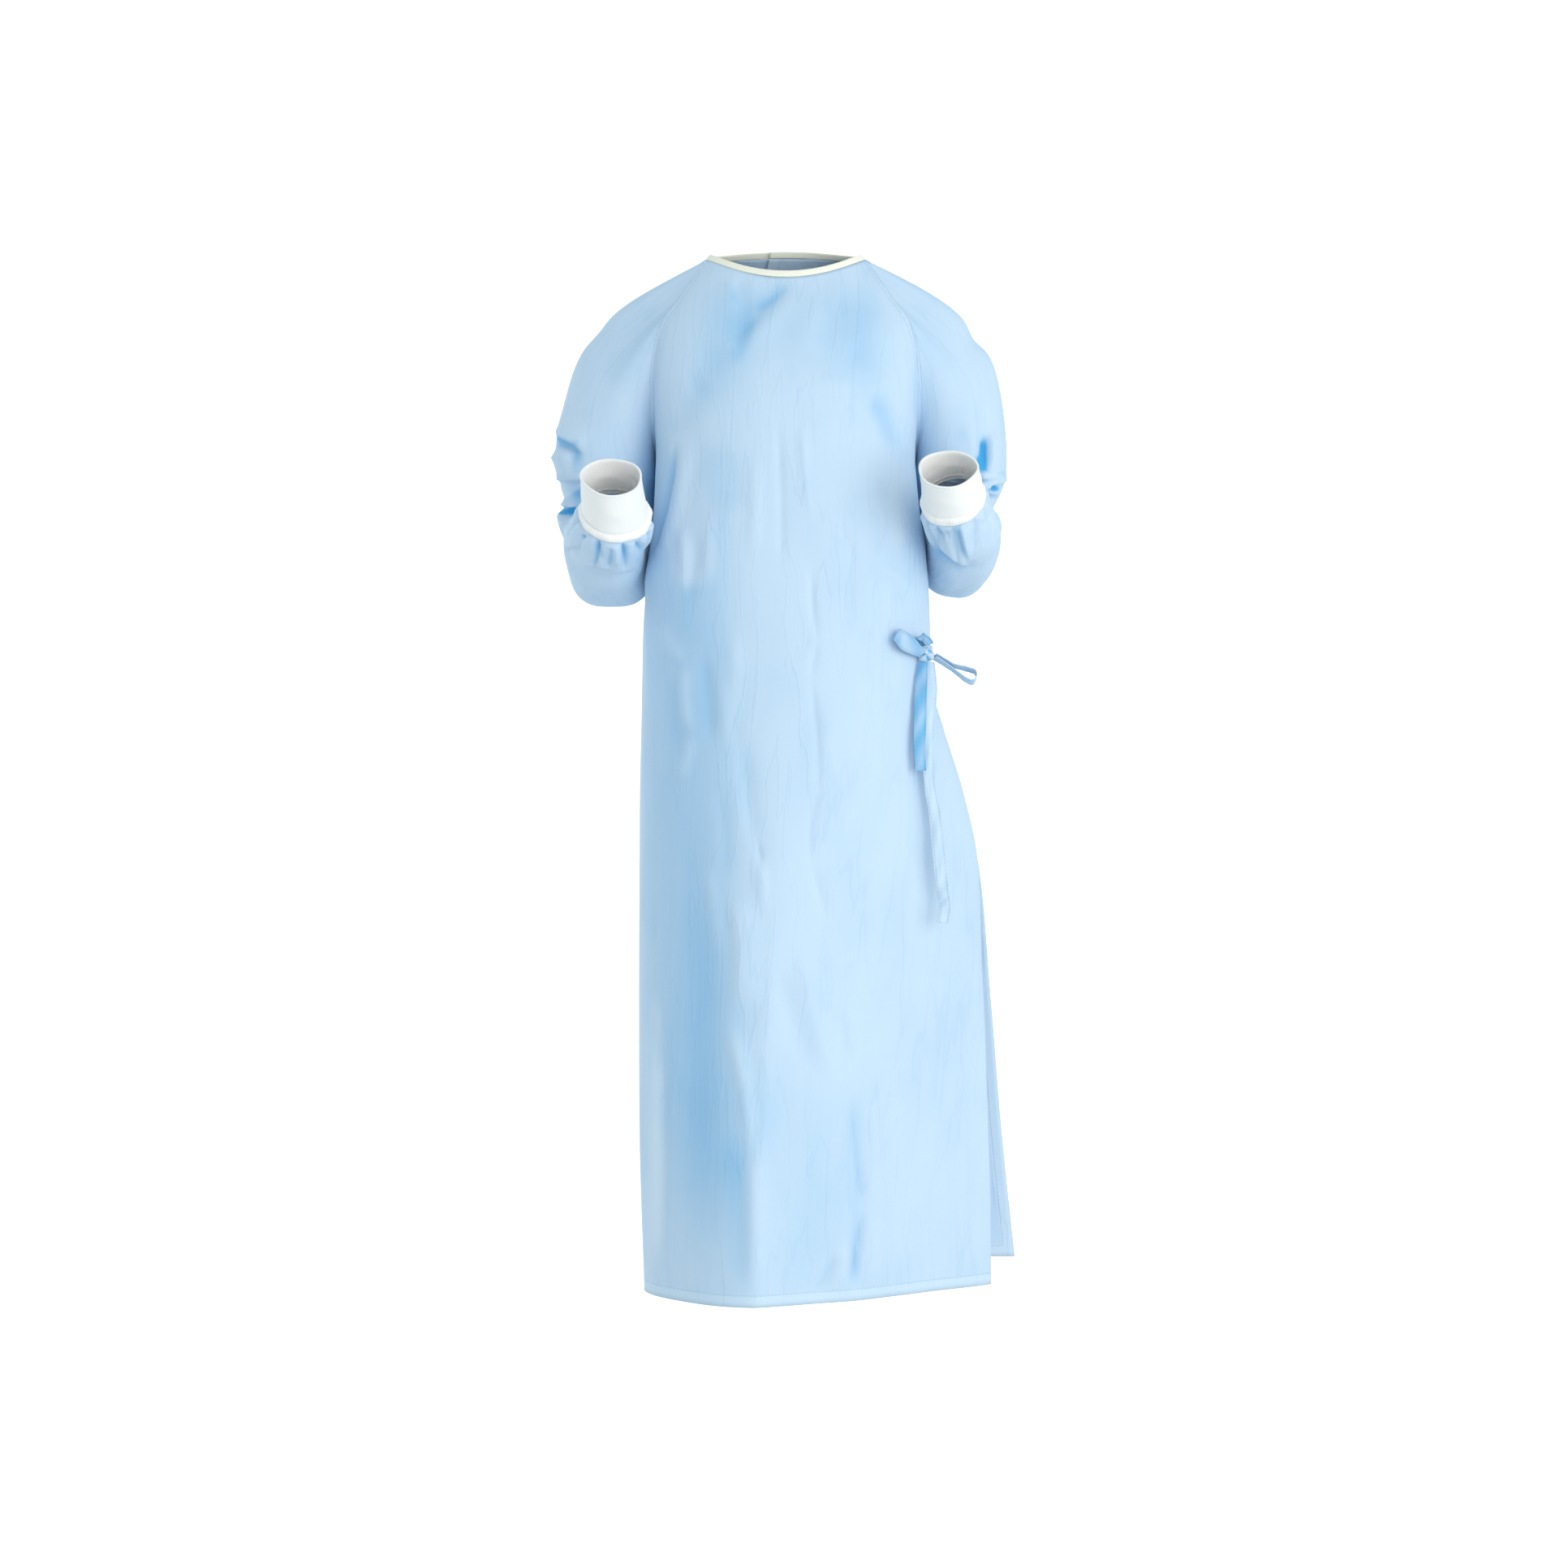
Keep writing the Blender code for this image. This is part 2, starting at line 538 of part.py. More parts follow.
def sleeve_base(sign, around, at):
    """Sleeve without folds: at from 0 at the raglan seam through 1 to 10 at the rings."""
    rings, shoulder = arm(sign)
    if at >= 1:
        return ring_point(sign, between(rings, at), around)
    turn = math.radians(around)
    share = ((1 + math.cos(turn)) / 2) ** 1.5
    fall = math.radians(shoulder.fall * (1 + math.cos(turn)) / 2 + 30 * math.sin(turn) ** 2)
    leave = Vector((sign * math.cos(fall), 0, -math.sin(fall))) * (0.03 + shoulder.leave * share)
    arrive = Vector((0, 0, -1)) * (0.03 + shoulder.arrive * share)
    a, b = start_point(sign, around), ring_point(sign, rings[0], around)
    return Vector([cubic(a[i], b[i], leave[i], arrive[i], at) for i in range(3)])


def sleeve_normal(sign, around, at):
    """Outward direction of the sleeve."""
    step = 0.4
    first, last = max(at, 0.002) - 0.002, min(at + 0.002, 10.0)
    across = sleeve_base(sign, around + step, at) - sleeve_base(sign, around - step, at)
    along = sleeve_base(sign, around, last) - sleeve_base(sign, around, first)
    return across.cross(along).normalized() * sign


def fold_height(folds, around, at):
    total = 0.0
    for f in folds:
        away = wrapped(around - f.around)
        along = at - f.at - f.slant * away
        total += (
            f.height
            * math.exp(-((along / f.reach_at) ** 2))
            * math.exp(-((away / f.reach_around) ** 2))
        )
    return total


def gather_height(around, at):
    """Gathers at the wrist, deepest just above the cuff and uneven round it."""
    rise = soft_step((at - 7.6) / 1.6)
    uneven = 0.75 + 0.25 * math.sin(math.radians(around * 2 + 40))
    return GATHER_HEIGHT * rise * uneven * math.cos(math.radians(around * GATHERS))


def panel_normal(kind, sign, at):
    """Outward direction of the panel beside a raglan seam."""
    if kind == "front":
        return normal_of(front_base, (1 + sign) / 2, at)
    base = under_base if sign > 0 else over_base
    return normal_of(base, 0.0, at) * sign


def seam_direction(kind, sign, at):
    """Where the walls of panel and sleeve both lean at their seam; shared at the underarm."""
    if at > 1 - TINY:
        return (seam_lean("front", sign, 1.0) + seam_lean("back", sign, 1.0)).normalized()
    return seam_lean(kind, sign, at)


def seam_lean(kind, sign, at):
    """Middle between the outward directions of panel and sleeve at their seam."""
    k = NECK_POINTS + YOKE_ROWS * (at if kind == "front" else 2 - at)
    around = 360.0 * k / SLEEVE_POINTS
    panel = panel_normal(kind, sign, at)
    sleeve = sleeve_normal(sign, around, 0.0)
    lean = (panel + sleeve).normalized()
    return lean / max(lean.dot(panel), 0.6)


def solid(name, bm, colour, roughness):
    """Finish a mesh as a named object with its own material."""
    bmesh.ops.triangulate(bm, faces=bm.faces[:], quad_method="SHORT_EDGE")
    mesh = bpy.data.meshes.new(name)
    bm.to_mesh(mesh)
    bm.free()
    mesh.shade_smooth()
    piece = bpy.data.objects.new(name, mesh)
    bpy.context.scene.collection.objects.link(piece)
    material = bpy.data.materials.new(name)
    material.use_nodes = True
    shader = material.node_tree.nodes["Principled BSDF"]
    shader.inputs["Base Color"].default_value = (*colour, 1.0)
    shader.inputs["Roughness"].default_value = roughness
    shader.inputs["Metallic"].default_value = 0.0
    mesh.materials.append(material)
    return piece


def cloth(name, across, down, place, colour=BLUE, roughness=0.75, tube=False):
    """Closed wall: place(w, v) gives an outer point and the way from it to the inner one."""
    bm = bmesh.new()
    bmesh.ops.create_grid(bm, x_segments=across, y_segments=down, size=0.5)
    places = {}
    for vert in bm.verts:
        w, v = vert.co.x + 0.5, vert.co.y + 0.5
        point, inward = place(min(max(w, 0.0), 1.0), min(max(v, 0.0), 1.0))
        places[vert] = (w, point, inward)
    for vert, (_, point, _) in places.items():
        vert.co = point
    # Both faces of the wall get the same diagonals, so that they never cross.
    bmesh.ops.triangulate(bm, faces=bm.faces[:], quad_method="SHORT_EDGE")
    outer_faces = bm.faces[:]
    copied = bmesh.ops.duplicate(bm, geom=bm.verts[:] + bm.edges[:] + bm.faces[:])
    inner = copied["vert_map"]
    inner_faces = [f for f in copied["geom"] if isinstance(f, bmesh.types.BMFace)]
    bmesh.ops.reverse_faces(bm, faces=inner_faces)
    rims = []
    for face in outer_faces:
        for loop in face.loops:
            a, b = loop.vert, loop.link_loop_next.vert
            ends = {round(places[a][0], 4), round(places[b][0], 4)}
            if loop.edge.is_boundary and not (tube and ends in ({0.0}, {1.0})):
                rims.append((b, a, inner[a], inner[b]))
    for corners in rims:
        bm.faces.new(corners)
    for vert, (_, point, inward) in places.items():
        inner[vert].co = point + inward
    bmesh.ops.remove_doubles(bm, verts=bm.verts[:], dist=1e-6)
    bm.normal_update()
    if bm.calc_volume(signed=True) < 0:
        bmesh.ops.reverse_faces(bm, faces=bm.faces[:])
    return solid(name, bm, colour, roughness)


def pulled(surface, w, v, ways):
    """Point of a panel, moved in from its seams by half the gap between pieces."""
    point = surface(w, v)
    step = 0.01
    for edge, value, target in ways:
        if edge == "w" and abs(w - value) < TINY:
            point = point + (surface(target, v) - point).normalized() * SEAM_GAP / 2
        if edge == "v" and abs(v - value) < TINY:
            inner = surface(w, value + step)
            point = point + (inner - point).normalized() * SEAM_GAP / 2
    return point


def panel_row(v):
    """Row of the mesh to the panel's own v: the yoke's rows, then the lower ones."""
    row = v * (YOKE_ROWS + LOWER_ROWS)
    if row <= YOKE_ROWS:
        return row / YOKE_ROWS
    return 1 + (row - YOKE_ROWS) / LOWER_ROWS


def make_front():
    def place(w, row):
        v = panel_row(row)
        point = pulled(front_surface, w, v, (("w", 0.0, 0.01), ("w", 1.0, 0.99), ("v", 0.0, 0.0)))
        inward = -normal_of(front_surface, w, v) * WALL
        if v < 1 + TINY and (w < TINY or w > 1 - TINY):
            inward = -seam_direction("front", 1 if w > 0.5 else -1, v) * WALL
        return point, inward

    return cloth("front", FRONT_COLUMNS, YOKE_ROWS + LOWER_ROWS, place)


def make_back(name, surface, sign):
    def place(w, row):
        v = panel_row(row)
        point = pulled(surface, w, v, (("w", 0.0, 0.01), ("v", 0.0, 0.0)))
        inward = normal_of(surface, w, v) * -sign * WALL
        if v < 1 + TINY and w < TINY:
            inward = -seam_direction("back", sign, v) * WALL
        return point, inward

    return cloth(name, BACK_COLUMNS, YOKE_ROWS + LOWER_ROWS, place)


def sleeve_row(v):
    row = v * (len(SLEEVE_ROWS) - 1)
    low = min(int(row + TINY), len(SLEEVE_ROWS) - 2)
    return mix(SLEEVE_ROWS[low], SLEEVE_ROWS[low + 1], row - low)


def make_sleeve(side):
    sign = 1 if side == "left" else -1
    last_ring = arm(sign)[0][-1]

    def place(w, row):
        around, at = 360.0 * w, sleeve_row(row)
        point = sleeve_base(sign, around, at)
        normal = sleeve_normal(sign, around, at)
        if at < TINY:
            k = round(w * SLEEVE_POINTS)
            onward = sleeve_base(sign, around, 0.02) - point
            point = point + onward.normalized() * SEAM_GAP / 2
            if NECK_POINTS <= k <= SLEEVE_POINTS - NECK_POINTS:
                kind = "front" if k <= NECK_POINTS + YOKE_ROWS else "back"
                share = (k - NECK_POINTS) / YOKE_ROWS
                place_at = share if kind == "front" else 2 - share
                return point, -seam_direction(kind, sign, place_at) * WALL
            return point, -normal * WALL
        folds = fold_height(SLEEVE_FOLDS[side], around, at) * soft_step(at / 0.3)
        height = folds * soft_step((10 - at) / 1.5) + gather_height(around, at)
        if at > 10 - TINY:
            axis = ring_axes(sign, last_ring.pitch, last_ring.roll)[2]
            point = point - axis * SEAM_GAP
            normal = (normal - axis * normal.dot(axis)).normalized()
        return point + normal * height, -normal * WALL

    return cloth(f"sleeve_{side}", SLEEVE_POINTS, len(SLEEVE_ROWS) - 1, place, tube=True)


def make_cuff(side):
    """Knit tube with the thick ridge where it is sewn to the sleeve."""
    sign = 1 if side == "left" else -1
    rows = CUFFS[side]
    length = (Vector(rows[-1][1:4]) - Vector(rows[0][1:4])).length
    ridge = CUFF_RIDGE_LENGTH / length
    stops = (0.0, ridge * 0.3, ridge * 0.8, ridge * 1.1, 0.45, 1.0)
    heights = (0.6, 1.0, 0.9, 0.0, 0.0, 0.0)

    def place(w, v):
        k = round(v * (len(stops) - 1))
        cuff = between(rows, stops[k])
        outer, front, _ = ring_axes(sign, cuff.pitch, cuff.roll)
        turn = 2 * math.pi * w
        out = outer * math.cos(turn) + front * math.sin(turn)
        middle = Vector((sign * cuff.x, cuff.y, cuff.z))
        rise = CUFF_RIDGE_HEIGHT * heights[k]
        return middle + out * (cuff.radius + rise), -out * (CUFF_WALL + rise)

    return cloth(f"cuff_{side}", CUFF_POINTS, len(stops) - 1, place, WHITE, 0.9, tube=True)


def make_binding():
    """Tape round the neck, from the under panel's edge to the over panel's."""
    start, end = EDGES[0].under, -EDGES[0].over

    def place(w, v):
        angle = mix(start, end, w)
        point = neck_point(angle)
        away = Vector((point.x, point.y, 0.0)).normalized()
        if angle < -BACK_RAGLAN:
            point = point + away * over_lap(-angle, 0.0)
        lean = math.radians(mix(14.0, 38.0, away.x**2))
        up = Vector((0, 0, math.cos(lean))) - away * math.sin(lean)
        face = Vector((0, 0, math.sin(lean))) + away * math.cos(lean)
        rise = SEAM_GAP + BINDING_HEIGHT * (1 - v)
        outer = point + up * rise + face * (BINDING_THICK - WALL) / 2
        return outer, -face * BINDING_THICK

    return cloth("neck_binding", 56, 2, place, PALE_YELLOW, 0.8)


def make_tab():
    """Hook-and-loop patch on the over panel at the back of the neck."""
    lift = SEAM_GAP + 0.0002

    def place(w, v):
        across, down = mix(*TAB_ACROSS, w), mix(*TAB_DOWN, v)
        out = normal_of(over_surface, across, down) * -1
        inner = over_surface(across, down) + out * lift
        return inner + out * BELT_THICK, -out * BELT_THICK

    return cloth("neck_tab", 4, 2, place, WHITE, 0.9)


def make_strap():
    """Belt from the over panel's free edge round the wearer's left side to the knot."""
    first, last = 128.0, 66.0
    edge = 360.0 - between(EDGES, WAIST).over

    def place(w, v):
        angle = mix(first, last, w)
        drop = WAIST + BELT_WIDTH * (v - 0.5)
        a, b = body_point(drop, angle - 0.5), body_point(drop, angle + 0.5)
        out = Vector((b.y - a.y, a.x - b.x, 0.0)).normalized()
        over = soft_step((angle - edge + 9.0) / 7.0)
        lift = mix(SEAM_GAP * 3, LAP + SEAM_GAP * 4, over)
        return body_point(drop, angle) + out * (lift + BELT_THICK), -out * BELT_THICK

    return cloth("belt_strap", 16, 2, place)


def make_band(name, rows):
    """Flat band along a smooth line through its rows."""
    last = len(rows) - 1
    spaced = [(float(i), *row) for i, row in enumerate(rows)]

    def band_at(at):
        return Band(*smooth_columns(spaced, at)[1:])

    def place(w, v):
        at = w * last
        row = band_at(at)
        middle = Vector(row[:3])
        before, after = band_at(max(at - 0.05, 0.0)), band_at(min(at + 0.05, last))
        ahead = (Vector(after[:3]) - Vector(before[:3])).normalized()
        lean, turn = math.radians(row.lean), math.radians(row.turn)
        level = math.cos(turn)
        wide = Vector((math.sin(lean) * level, -math.sin(turn), math.cos(lean) * level))
        wide = (wide - ahead * wide.dot(ahead)).normalized()
        out = ahead.cross(wide)
        return middle + wide * row.width * (v - 0.5) + out * BELT_THICK / 2, -out * BELT_THICK

    return cloth(name, 2 * last, 2, place)


def make_knot():
    """Rounded knot with the turns of the band pressed into it."""
    bm = bmesh.new()
    bmesh.ops.create_uvsphere(bm, u_segments=14, v_segments=9, radius=0.5)
    for vert in bm.verts:
        turn = math.atan2(vert.co.z, vert.co.x)
        groove = 1 + 0.10 * math.cos(3 * turn + 0.6)
        vert.co = KNOT_MIDDLE + Vector(c * s * groove for c, s in zip(vert.co, KNOT_SIZE))
    return solid("belt_knot", bm, BLUE, 0.75)


def main():
    for piece in list(bpy.data.objects):
        bpy.data.objects.remove(piece, do_unlink=True)
    make_front()
    make_back("back_left", under_surface, 1)
    make_back("back_right", over_surface, -1)
    for side in ("right", "left"):
        make_sleeve(side)
        make_cuff(side)
    make_binding()
    make_tab()
    make_strap()
    make_knot()
    make_band("belt_loop_front", FRONT_LOOP)
    make_band("belt_loop_side", SIDE_LOOP)
    make_band("belt_loop_top", TOP_LOOP)
    make_band("belt_tail_short", SHORT_TAIL)
    make_band("belt_tail_long", LONG_TAIL)


main()
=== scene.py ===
"""Wrap-around surgical gown in its worn pose: cloth shells, their finishes, studio and camera.

Metres, +Z up. The gown faces -Y and the wearer's left is +X. The origin is the middle of
the neck opening, level with the lowest points of its sides. Places down the body are
given as a drop below that level. Round the body, an angle runs from 0 at the front
through 90 at the wearer's left side to 180 at the back, and is negative on the right.
"""

import logging
import math
from dataclasses import dataclass
from enum import Enum
from functools import lru_cache, partial
from typing import Any, Callable, NamedTuple, Sequence

import bmesh
import bpy
import numpy as np
from bpy.types import Material, Object
from mathutils import Matrix, Vector


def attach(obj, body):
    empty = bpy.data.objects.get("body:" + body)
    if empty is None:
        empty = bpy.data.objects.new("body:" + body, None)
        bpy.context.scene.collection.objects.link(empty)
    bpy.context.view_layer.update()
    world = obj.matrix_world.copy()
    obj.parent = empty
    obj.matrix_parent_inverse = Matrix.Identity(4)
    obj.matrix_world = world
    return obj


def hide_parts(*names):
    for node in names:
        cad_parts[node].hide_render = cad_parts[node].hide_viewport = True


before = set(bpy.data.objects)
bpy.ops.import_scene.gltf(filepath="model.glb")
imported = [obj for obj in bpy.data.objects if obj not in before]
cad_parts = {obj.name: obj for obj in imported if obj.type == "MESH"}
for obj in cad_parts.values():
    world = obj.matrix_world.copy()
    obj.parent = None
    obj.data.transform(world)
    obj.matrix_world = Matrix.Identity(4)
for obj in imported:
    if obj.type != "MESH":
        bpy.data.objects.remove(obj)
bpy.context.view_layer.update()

Array = np.ndarray
LOG = logging.getLogger("gown")
MM = 0.001
TINY = 1e-6
SEAM_HEIGHT = 0.0005  # of the ridge that a welded seam raises
SEAM_REACH = 0.0035  # half-width of that ridge
CREASE_SHADE_LIMIT = 0.2  # most painted shade that a body crease's trough adds to its tone, and most painted light that its crest adds


class Section(NamedTuple):
    """Half-widths, depths, x of the foremost point, y of the sides and roundness at a drop."""

    drop: float
    left: float
    right: float
    front: float
    back: float
    apex: float
    left_y: float
    right_y: float
    left_front: float
    right_front: float
    rear: float


class Profile(NamedTuple):
    """Middle line of front or back, from 0 at the neck to 1 at the underarm."""

    at: float
    y: float
    z: float


class Seam(NamedTuple):
    """Point of a raglan seam, from 0 at the neck to 1 at the underarm."""

    at: float
    x: float
    y: float
    z: float


class Edge(NamedTuple):
    """Angles that the back panels reach, and how far the over panel's edge stands away."""

    drop: float
    under: float
    over: float
    flare_x: float
    flare_y: float


class Ring(NamedTuple):
    """Arm section: middle, pitch, roll, roundness, and radii to its four sides."""

    at: float
    x: float
    y: float
    z: float
    pitch: float
    roll: float
    round: float
    boxy: float
    out: float
    inn: float
    front: float
    back: float


class Shoulder(NamedTuple):
    """How the cloth leaves the neck, swells over the shoulder and comes down to the arm."""

    fall: float
    leave: float
    arrive: float


class Fold(NamedTuple):
    """Fold of a sleeve: middle along and round the arm, its reaches, slant and height."""

    at: float
    around: float
    reach_at: float
    reach_around: float
    slant: float
    height: float


class Sweep(NamedTuple):
    """One of the body's largest folds: a line, its half-width and height."""

    x0: float
    drop0: float
    x1: float
    drop1: float
    width: float
    height: float


class CuffRing(NamedTuple):
    """Section of a cuff, from 0 at the sleeve to 1 at its open end."""

    at: float
    x: float
    y: float
    z: float
    radius: float
    pitch: float
    roll: float


class Band(NamedTuple):
    """Place of a belt end's middle line, its width and the way the width points."""

    x: float
    y: float
    z: float
    width: float
    lean: float
    turn: float


class Spot(NamedTuple):
    """A belt end's band at its place along the line."""

    at: float
    x: float
    y: float
    z: float
    width: float
    lean: float
    turn: float


class Form(Enum):
    """Section of a crease across its line."""

    RIDGE = "ridge"  # soft, even both ways
    SHARP = "sharp"  # soft sides that meet in a crisp line
    LIP = "lip"  # full on its left, fallen in on its right
    FOLD = "fold"  # pressed line left from packing
    TONE = "tone"  # painted shade of a hollow too soft to shape, and painted light where its value is negative


class Crease(NamedTuple):
    """Crease seen from one side, in mm: line, bow, reach to left and right, height, or for TONE its share
    of painted shade (painted light where negative).
    """

    form: Form
    x0: float
    z0: float
    x1: float
    z1: float
    bow: float
    left: float
    right: float
    height: float


RIDGE, SHARP, LIP, FOLD, TONE = (partial(Crease, form) for form in Form)

SECTIONS = (
    Section(0.235, 0.148, 0.148, 0.137, 0.118, 0, -0.008, -0.008, 2.3, 2.3, 2.2),
    Section(0.3, 0.152, 0.149, 0.148, 0.115, 0, -0.03, -0.02, 2.3, 2.3, 2.2),
    Section(0.36, 0.161, 0.156, 0.154, 0.112, 0, -0.05, -0.04, 2.3, 2.3, 2.2),
    Section(0.415, 0.164, 0.162, 0.158, 0.112, 0, -0.045, -0.035, 2.2, 2.2, 2.2),
    Section(0.49, 0.167, 0.164, 0.162, 0.116, 0, -0.04, -0.035, 2.1, 2.1, 2.2),
    Section(0.54, 0.181, 0.165, 0.164, 0.122, -0.003, -0.035, -0.035, 1.85, 2, 2.1),
    Section(0.61, 0.203, 0.1665, 0.168, 0.133, -0.008, -0.03, -0.038, 1.6, 2, 2.1),
    Section(0.69, 0.22, 0.167, 0.173, 0.146, -0.013, -0.024, -0.04, 1.42, 1.95, 2),
    Section(0.86, 0.2255, 0.1675, 0.18, 0.168, -0.02, -0.018, -0.045, 1.28, 1.85, 2),
    Section(1.02, 0.231, 0.1665, 0.186, 0.184, -0.028, -0.014, -0.05, 1.2, 1.78, 2),
    Section(1.177, 0.2367, 0.1615, 0.19, 0.195, -0.034, -0.011, -0.054, 1.15, 1.7, 2),
)
FRONT_PROFILE = (
    Profile(0, -0.058, -0.026),
    Profile(0.25, -0.091, -0.08),
    Profile(0.5, -0.116, -0.134),
    Profile(0.75, -0.129, -0.186),
    Profile(1, -0.137, -0.235),
)
BACK_PROFILE = (
    Profile(0, 0.062, 0.01),
    Profile(0.25, 0.094, -0.04),
    Profile(0.5, 0.115, -0.105),
    Profile(0.75, 0.121, -0.172),
    Profile(1, 0.118, -0.235),
)
FRONT_RAGLAN_POINTS = (
    Seam(0.2, 0.1176, -0.037, -0.043),
    Seam(0.4, 0.141, -0.052, -0.08),
    Seam(0.6, 0.15, -0.05, -0.134),
    Seam(0.8, 0.15, -0.026, -0.19),
)
BACK_RAGLAN_POINTS = (
    Seam(0.2, 0.096, 0.073, -0.018),
    Seam(0.4, 0.129, 0.086, -0.066),
    Seam(0.6, 0.147, 0.081, -0.124),
    Seam(0.8, 0.151, 0.051, -0.186),
)
EDGES = (
    Edge(0, 192, 195, 0, 0),
    Edge(0.235, 200, 217, 0, 0),
    Edge(0.452, 214, 243, 0, 0),
    Edge(0.54, 216, 242, 0.006, 0.01),
    Edge(0.61, 218, 241, 0.018, 0.03),
    Edge(0.7, 220, 240, 0.033, 0.056),
    Edge(0.86, 222, 237, 0.052, 0.076),
    Edge(1.02, 224, 234, 0.069, 0.086),
    Edge(1.177, 225, 232, 0.087, 0.0955),
)
RIGHT_RINGS = (
    Ring(1, 0.205, 0.014, -0.252, 0, 0, 2, 2, 0.0555, 0.045, 0.06, 0.062),
    Ring(2, 0.206, 0.016, -0.283, 12, 0, 2.1, 2.2, 0.053, 0.046, 0.052, 0.068),
    Ring(3, 0.207, 0.014, -0.305, 32, 0, 2.4, 2.8, 0.0515, 0.05, 0.046, 0.076),
    Ring(4, 0.207, 0.003, -0.323, 55, 0, 2.9, 3.6, 0.047, 0.051, 0.046, 0.079),
    Ring(5, 0.205, -0.02, -0.333, 78, 0, 2.9, 3.6, 0.045, 0.046, 0.047, 0.066),
    Ring(6, 0.203, -0.05, -0.331, 92, 0, 2.5, 2.9, 0.048, 0.041, 0.046, 0.057),
    Ring(7, 0.201, -0.082, -0.327, 102, 0, 2.2, 2.3, 0.05, 0.041, 0.044, 0.052),
    Ring(8, 0.197, -0.112, -0.321, 112, 2, 2, 2, 0.0475, 0.041, 0.043, 0.046),
    Ring(9, 0.1925, -0.136, -0.313, 122, 5, 2, 2, 0.0435, 0.04, 0.041, 0.041),
    Ring(10, 0.1885, -0.152, -0.304, 131, 8, 2, 2, 0.038, 0.038, 0.038, 0.038),
)
LEFT_RINGS = (
    Ring(1, 0.205, 0.014, -0.252, 0, 0, 2, 2, 0.048, 0.045, 0.06, 0.062),
    Ring(2, 0.204, 0.016, -0.28, 12, -1, 2.1, 2.2, 0.042, 0.044, 0.052, 0.068),
    Ring(3, 0.2045, 0.014, -0.3, 32, -5, 2.2, 2.8, 0.042, 0.045, 0.046, 0.074),
    Ring(4, 0.204, 0.003, -0.318, 55, -6, 2.2, 3.4, 0.04, 0.044, 0.046, 0.075),
    Ring(5, 0.202, -0.02, -0.326, 78, -6, 2.2, 3, 0.041, 0.039, 0.047, 0.062),
    Ring(6, 0.201, -0.05, -0.323, 92, 0, 2.1, 2.9, 0.043, 0.038, 0.046, 0.054),
    Ring(7, 0.1985, -0.082, -0.319, 102, 6, 2.1, 2.3, 0.044, 0.037, 0.044, 0.049),
    Ring(8, 0.196, -0.112, -0.313, 112, 12, 2, 2, 0.043, 0.036, 0.042, 0.044),
    Ring(9, 0.191, -0.136, -0.298, 122, 17, 2, 2, 0.039, 0.036, 0.039, 0.039),
    Ring(10, 0.186, -0.152, -0.287, 131, 21, 2, 2, 0.0355, 0.0355, 0.0355, 0.0355),
)
SHOULDERS = {"right": Shoulder(25.0, 0.40, 0.47), "left": Shoulder(22.0, 0.47, 0.40)}
SLEEVE_FOLDS = {
    "right": (
        Fold(0.47, 8, 0.08, 34, 0, -0.0035),
        Fold(0.9, 20, 0.09, 60, 0, 0.006),
        Fold(1.8, 20, 0.4, 60, 0, -0.005),
        Fold(2.6, 10, 0.4, 50, 0, 0.005),
        Fold(3.3, 20, 0.35, 45, 0, -0.004),
        Fold(7.4, 280, 0.5, 60, 0, -0.005),
        Fold(0.6, 285, 0.12, 45, 0, -0.006),
    ),
    "left": (
        Fold(0.45, 8, 0.07, 34, 0, -0.007),
        Fold(0.92, 20, 0.12, 60, 0, 0.002),
        Fold(2.2, 20, 0.5, 60, 0, -0.008),
        Fold(3.4, 10, 0.45, 45, 0, 0.003),
        Fold(7.4, 270, 0.6, 50, 0, -0.004),
        Fold(0.6, 285, 0.12, 45, 0, -0.006),
    ),
}
FRONT_SWEEPS = (
    Sweep(-0.122, 0.2, -0.155, 0.37, 0.018, 0.005),
    Sweep(0.116, 0.2, 0.15, 0.33, 0.018, 0.004),
    Sweep(-0.108, 0.56, -0.12, 1.177, 0.032, -0.004),
    Sweep(0.03, 0.86, 0.075, 1.177, 0.03, 0.0045),
    Sweep(0.15, 0.6, 0.175, 1.177, 0.034, -0.004),
)
BACK_SWEEPS = (
    Sweep(0.03, 0.2, 0.06, 0.42, 0.025, -0.005),
    Sweep(-0.075, 0.18, -0.05, 0.4, 0.025, -0.005),
    Sweep(-0.06, 0.6, -0.095, 1.177, 0.04, 0.012),
    Sweep(0.02, 0.64, 0.03, 1.177, 0.035, -0.006),
    Sweep(0.1, 0.66, 0.13, 1.177, 0.04, 0.01),
)
CUFFS = {
    "right": (
        CuffRing(0, 0.1885, -0.152, -0.304, 0.038, 131, 8),
        CuffRing(0.5, 0.19, -0.175, -0.283, 0.035, 135, 6),
        CuffRing(1, 0.1915, -0.1945, -0.262, 0.0335, 139, 4),
    ),
    "left": (
        CuffRing(0, 0.186, -0.152, -0.287, 0.0355, 131, 21),
        CuffRing(0.5, 0.182, -0.175, -0.2695, 0.0335, 135, 12),
        CuffRing(1, 0.178, -0.1945, -0.253, 0.0325, 138, 5),
    ),
}
SHORT_TAIL = (
    Band(0.1542, -0.1067, -0.4632, 0.012, 90, 20),
    Band(0.1515, -0.113, -0.495, 0.014, 90, 10),
    Band(0.1505, -0.116, -0.53, 0.014, 90, -8),
    Band(0.15, -0.117, -0.56, 0.013, 90, -12),
    Band(0.1515, -0.117, -0.585, 0.012, 90, 0),
)
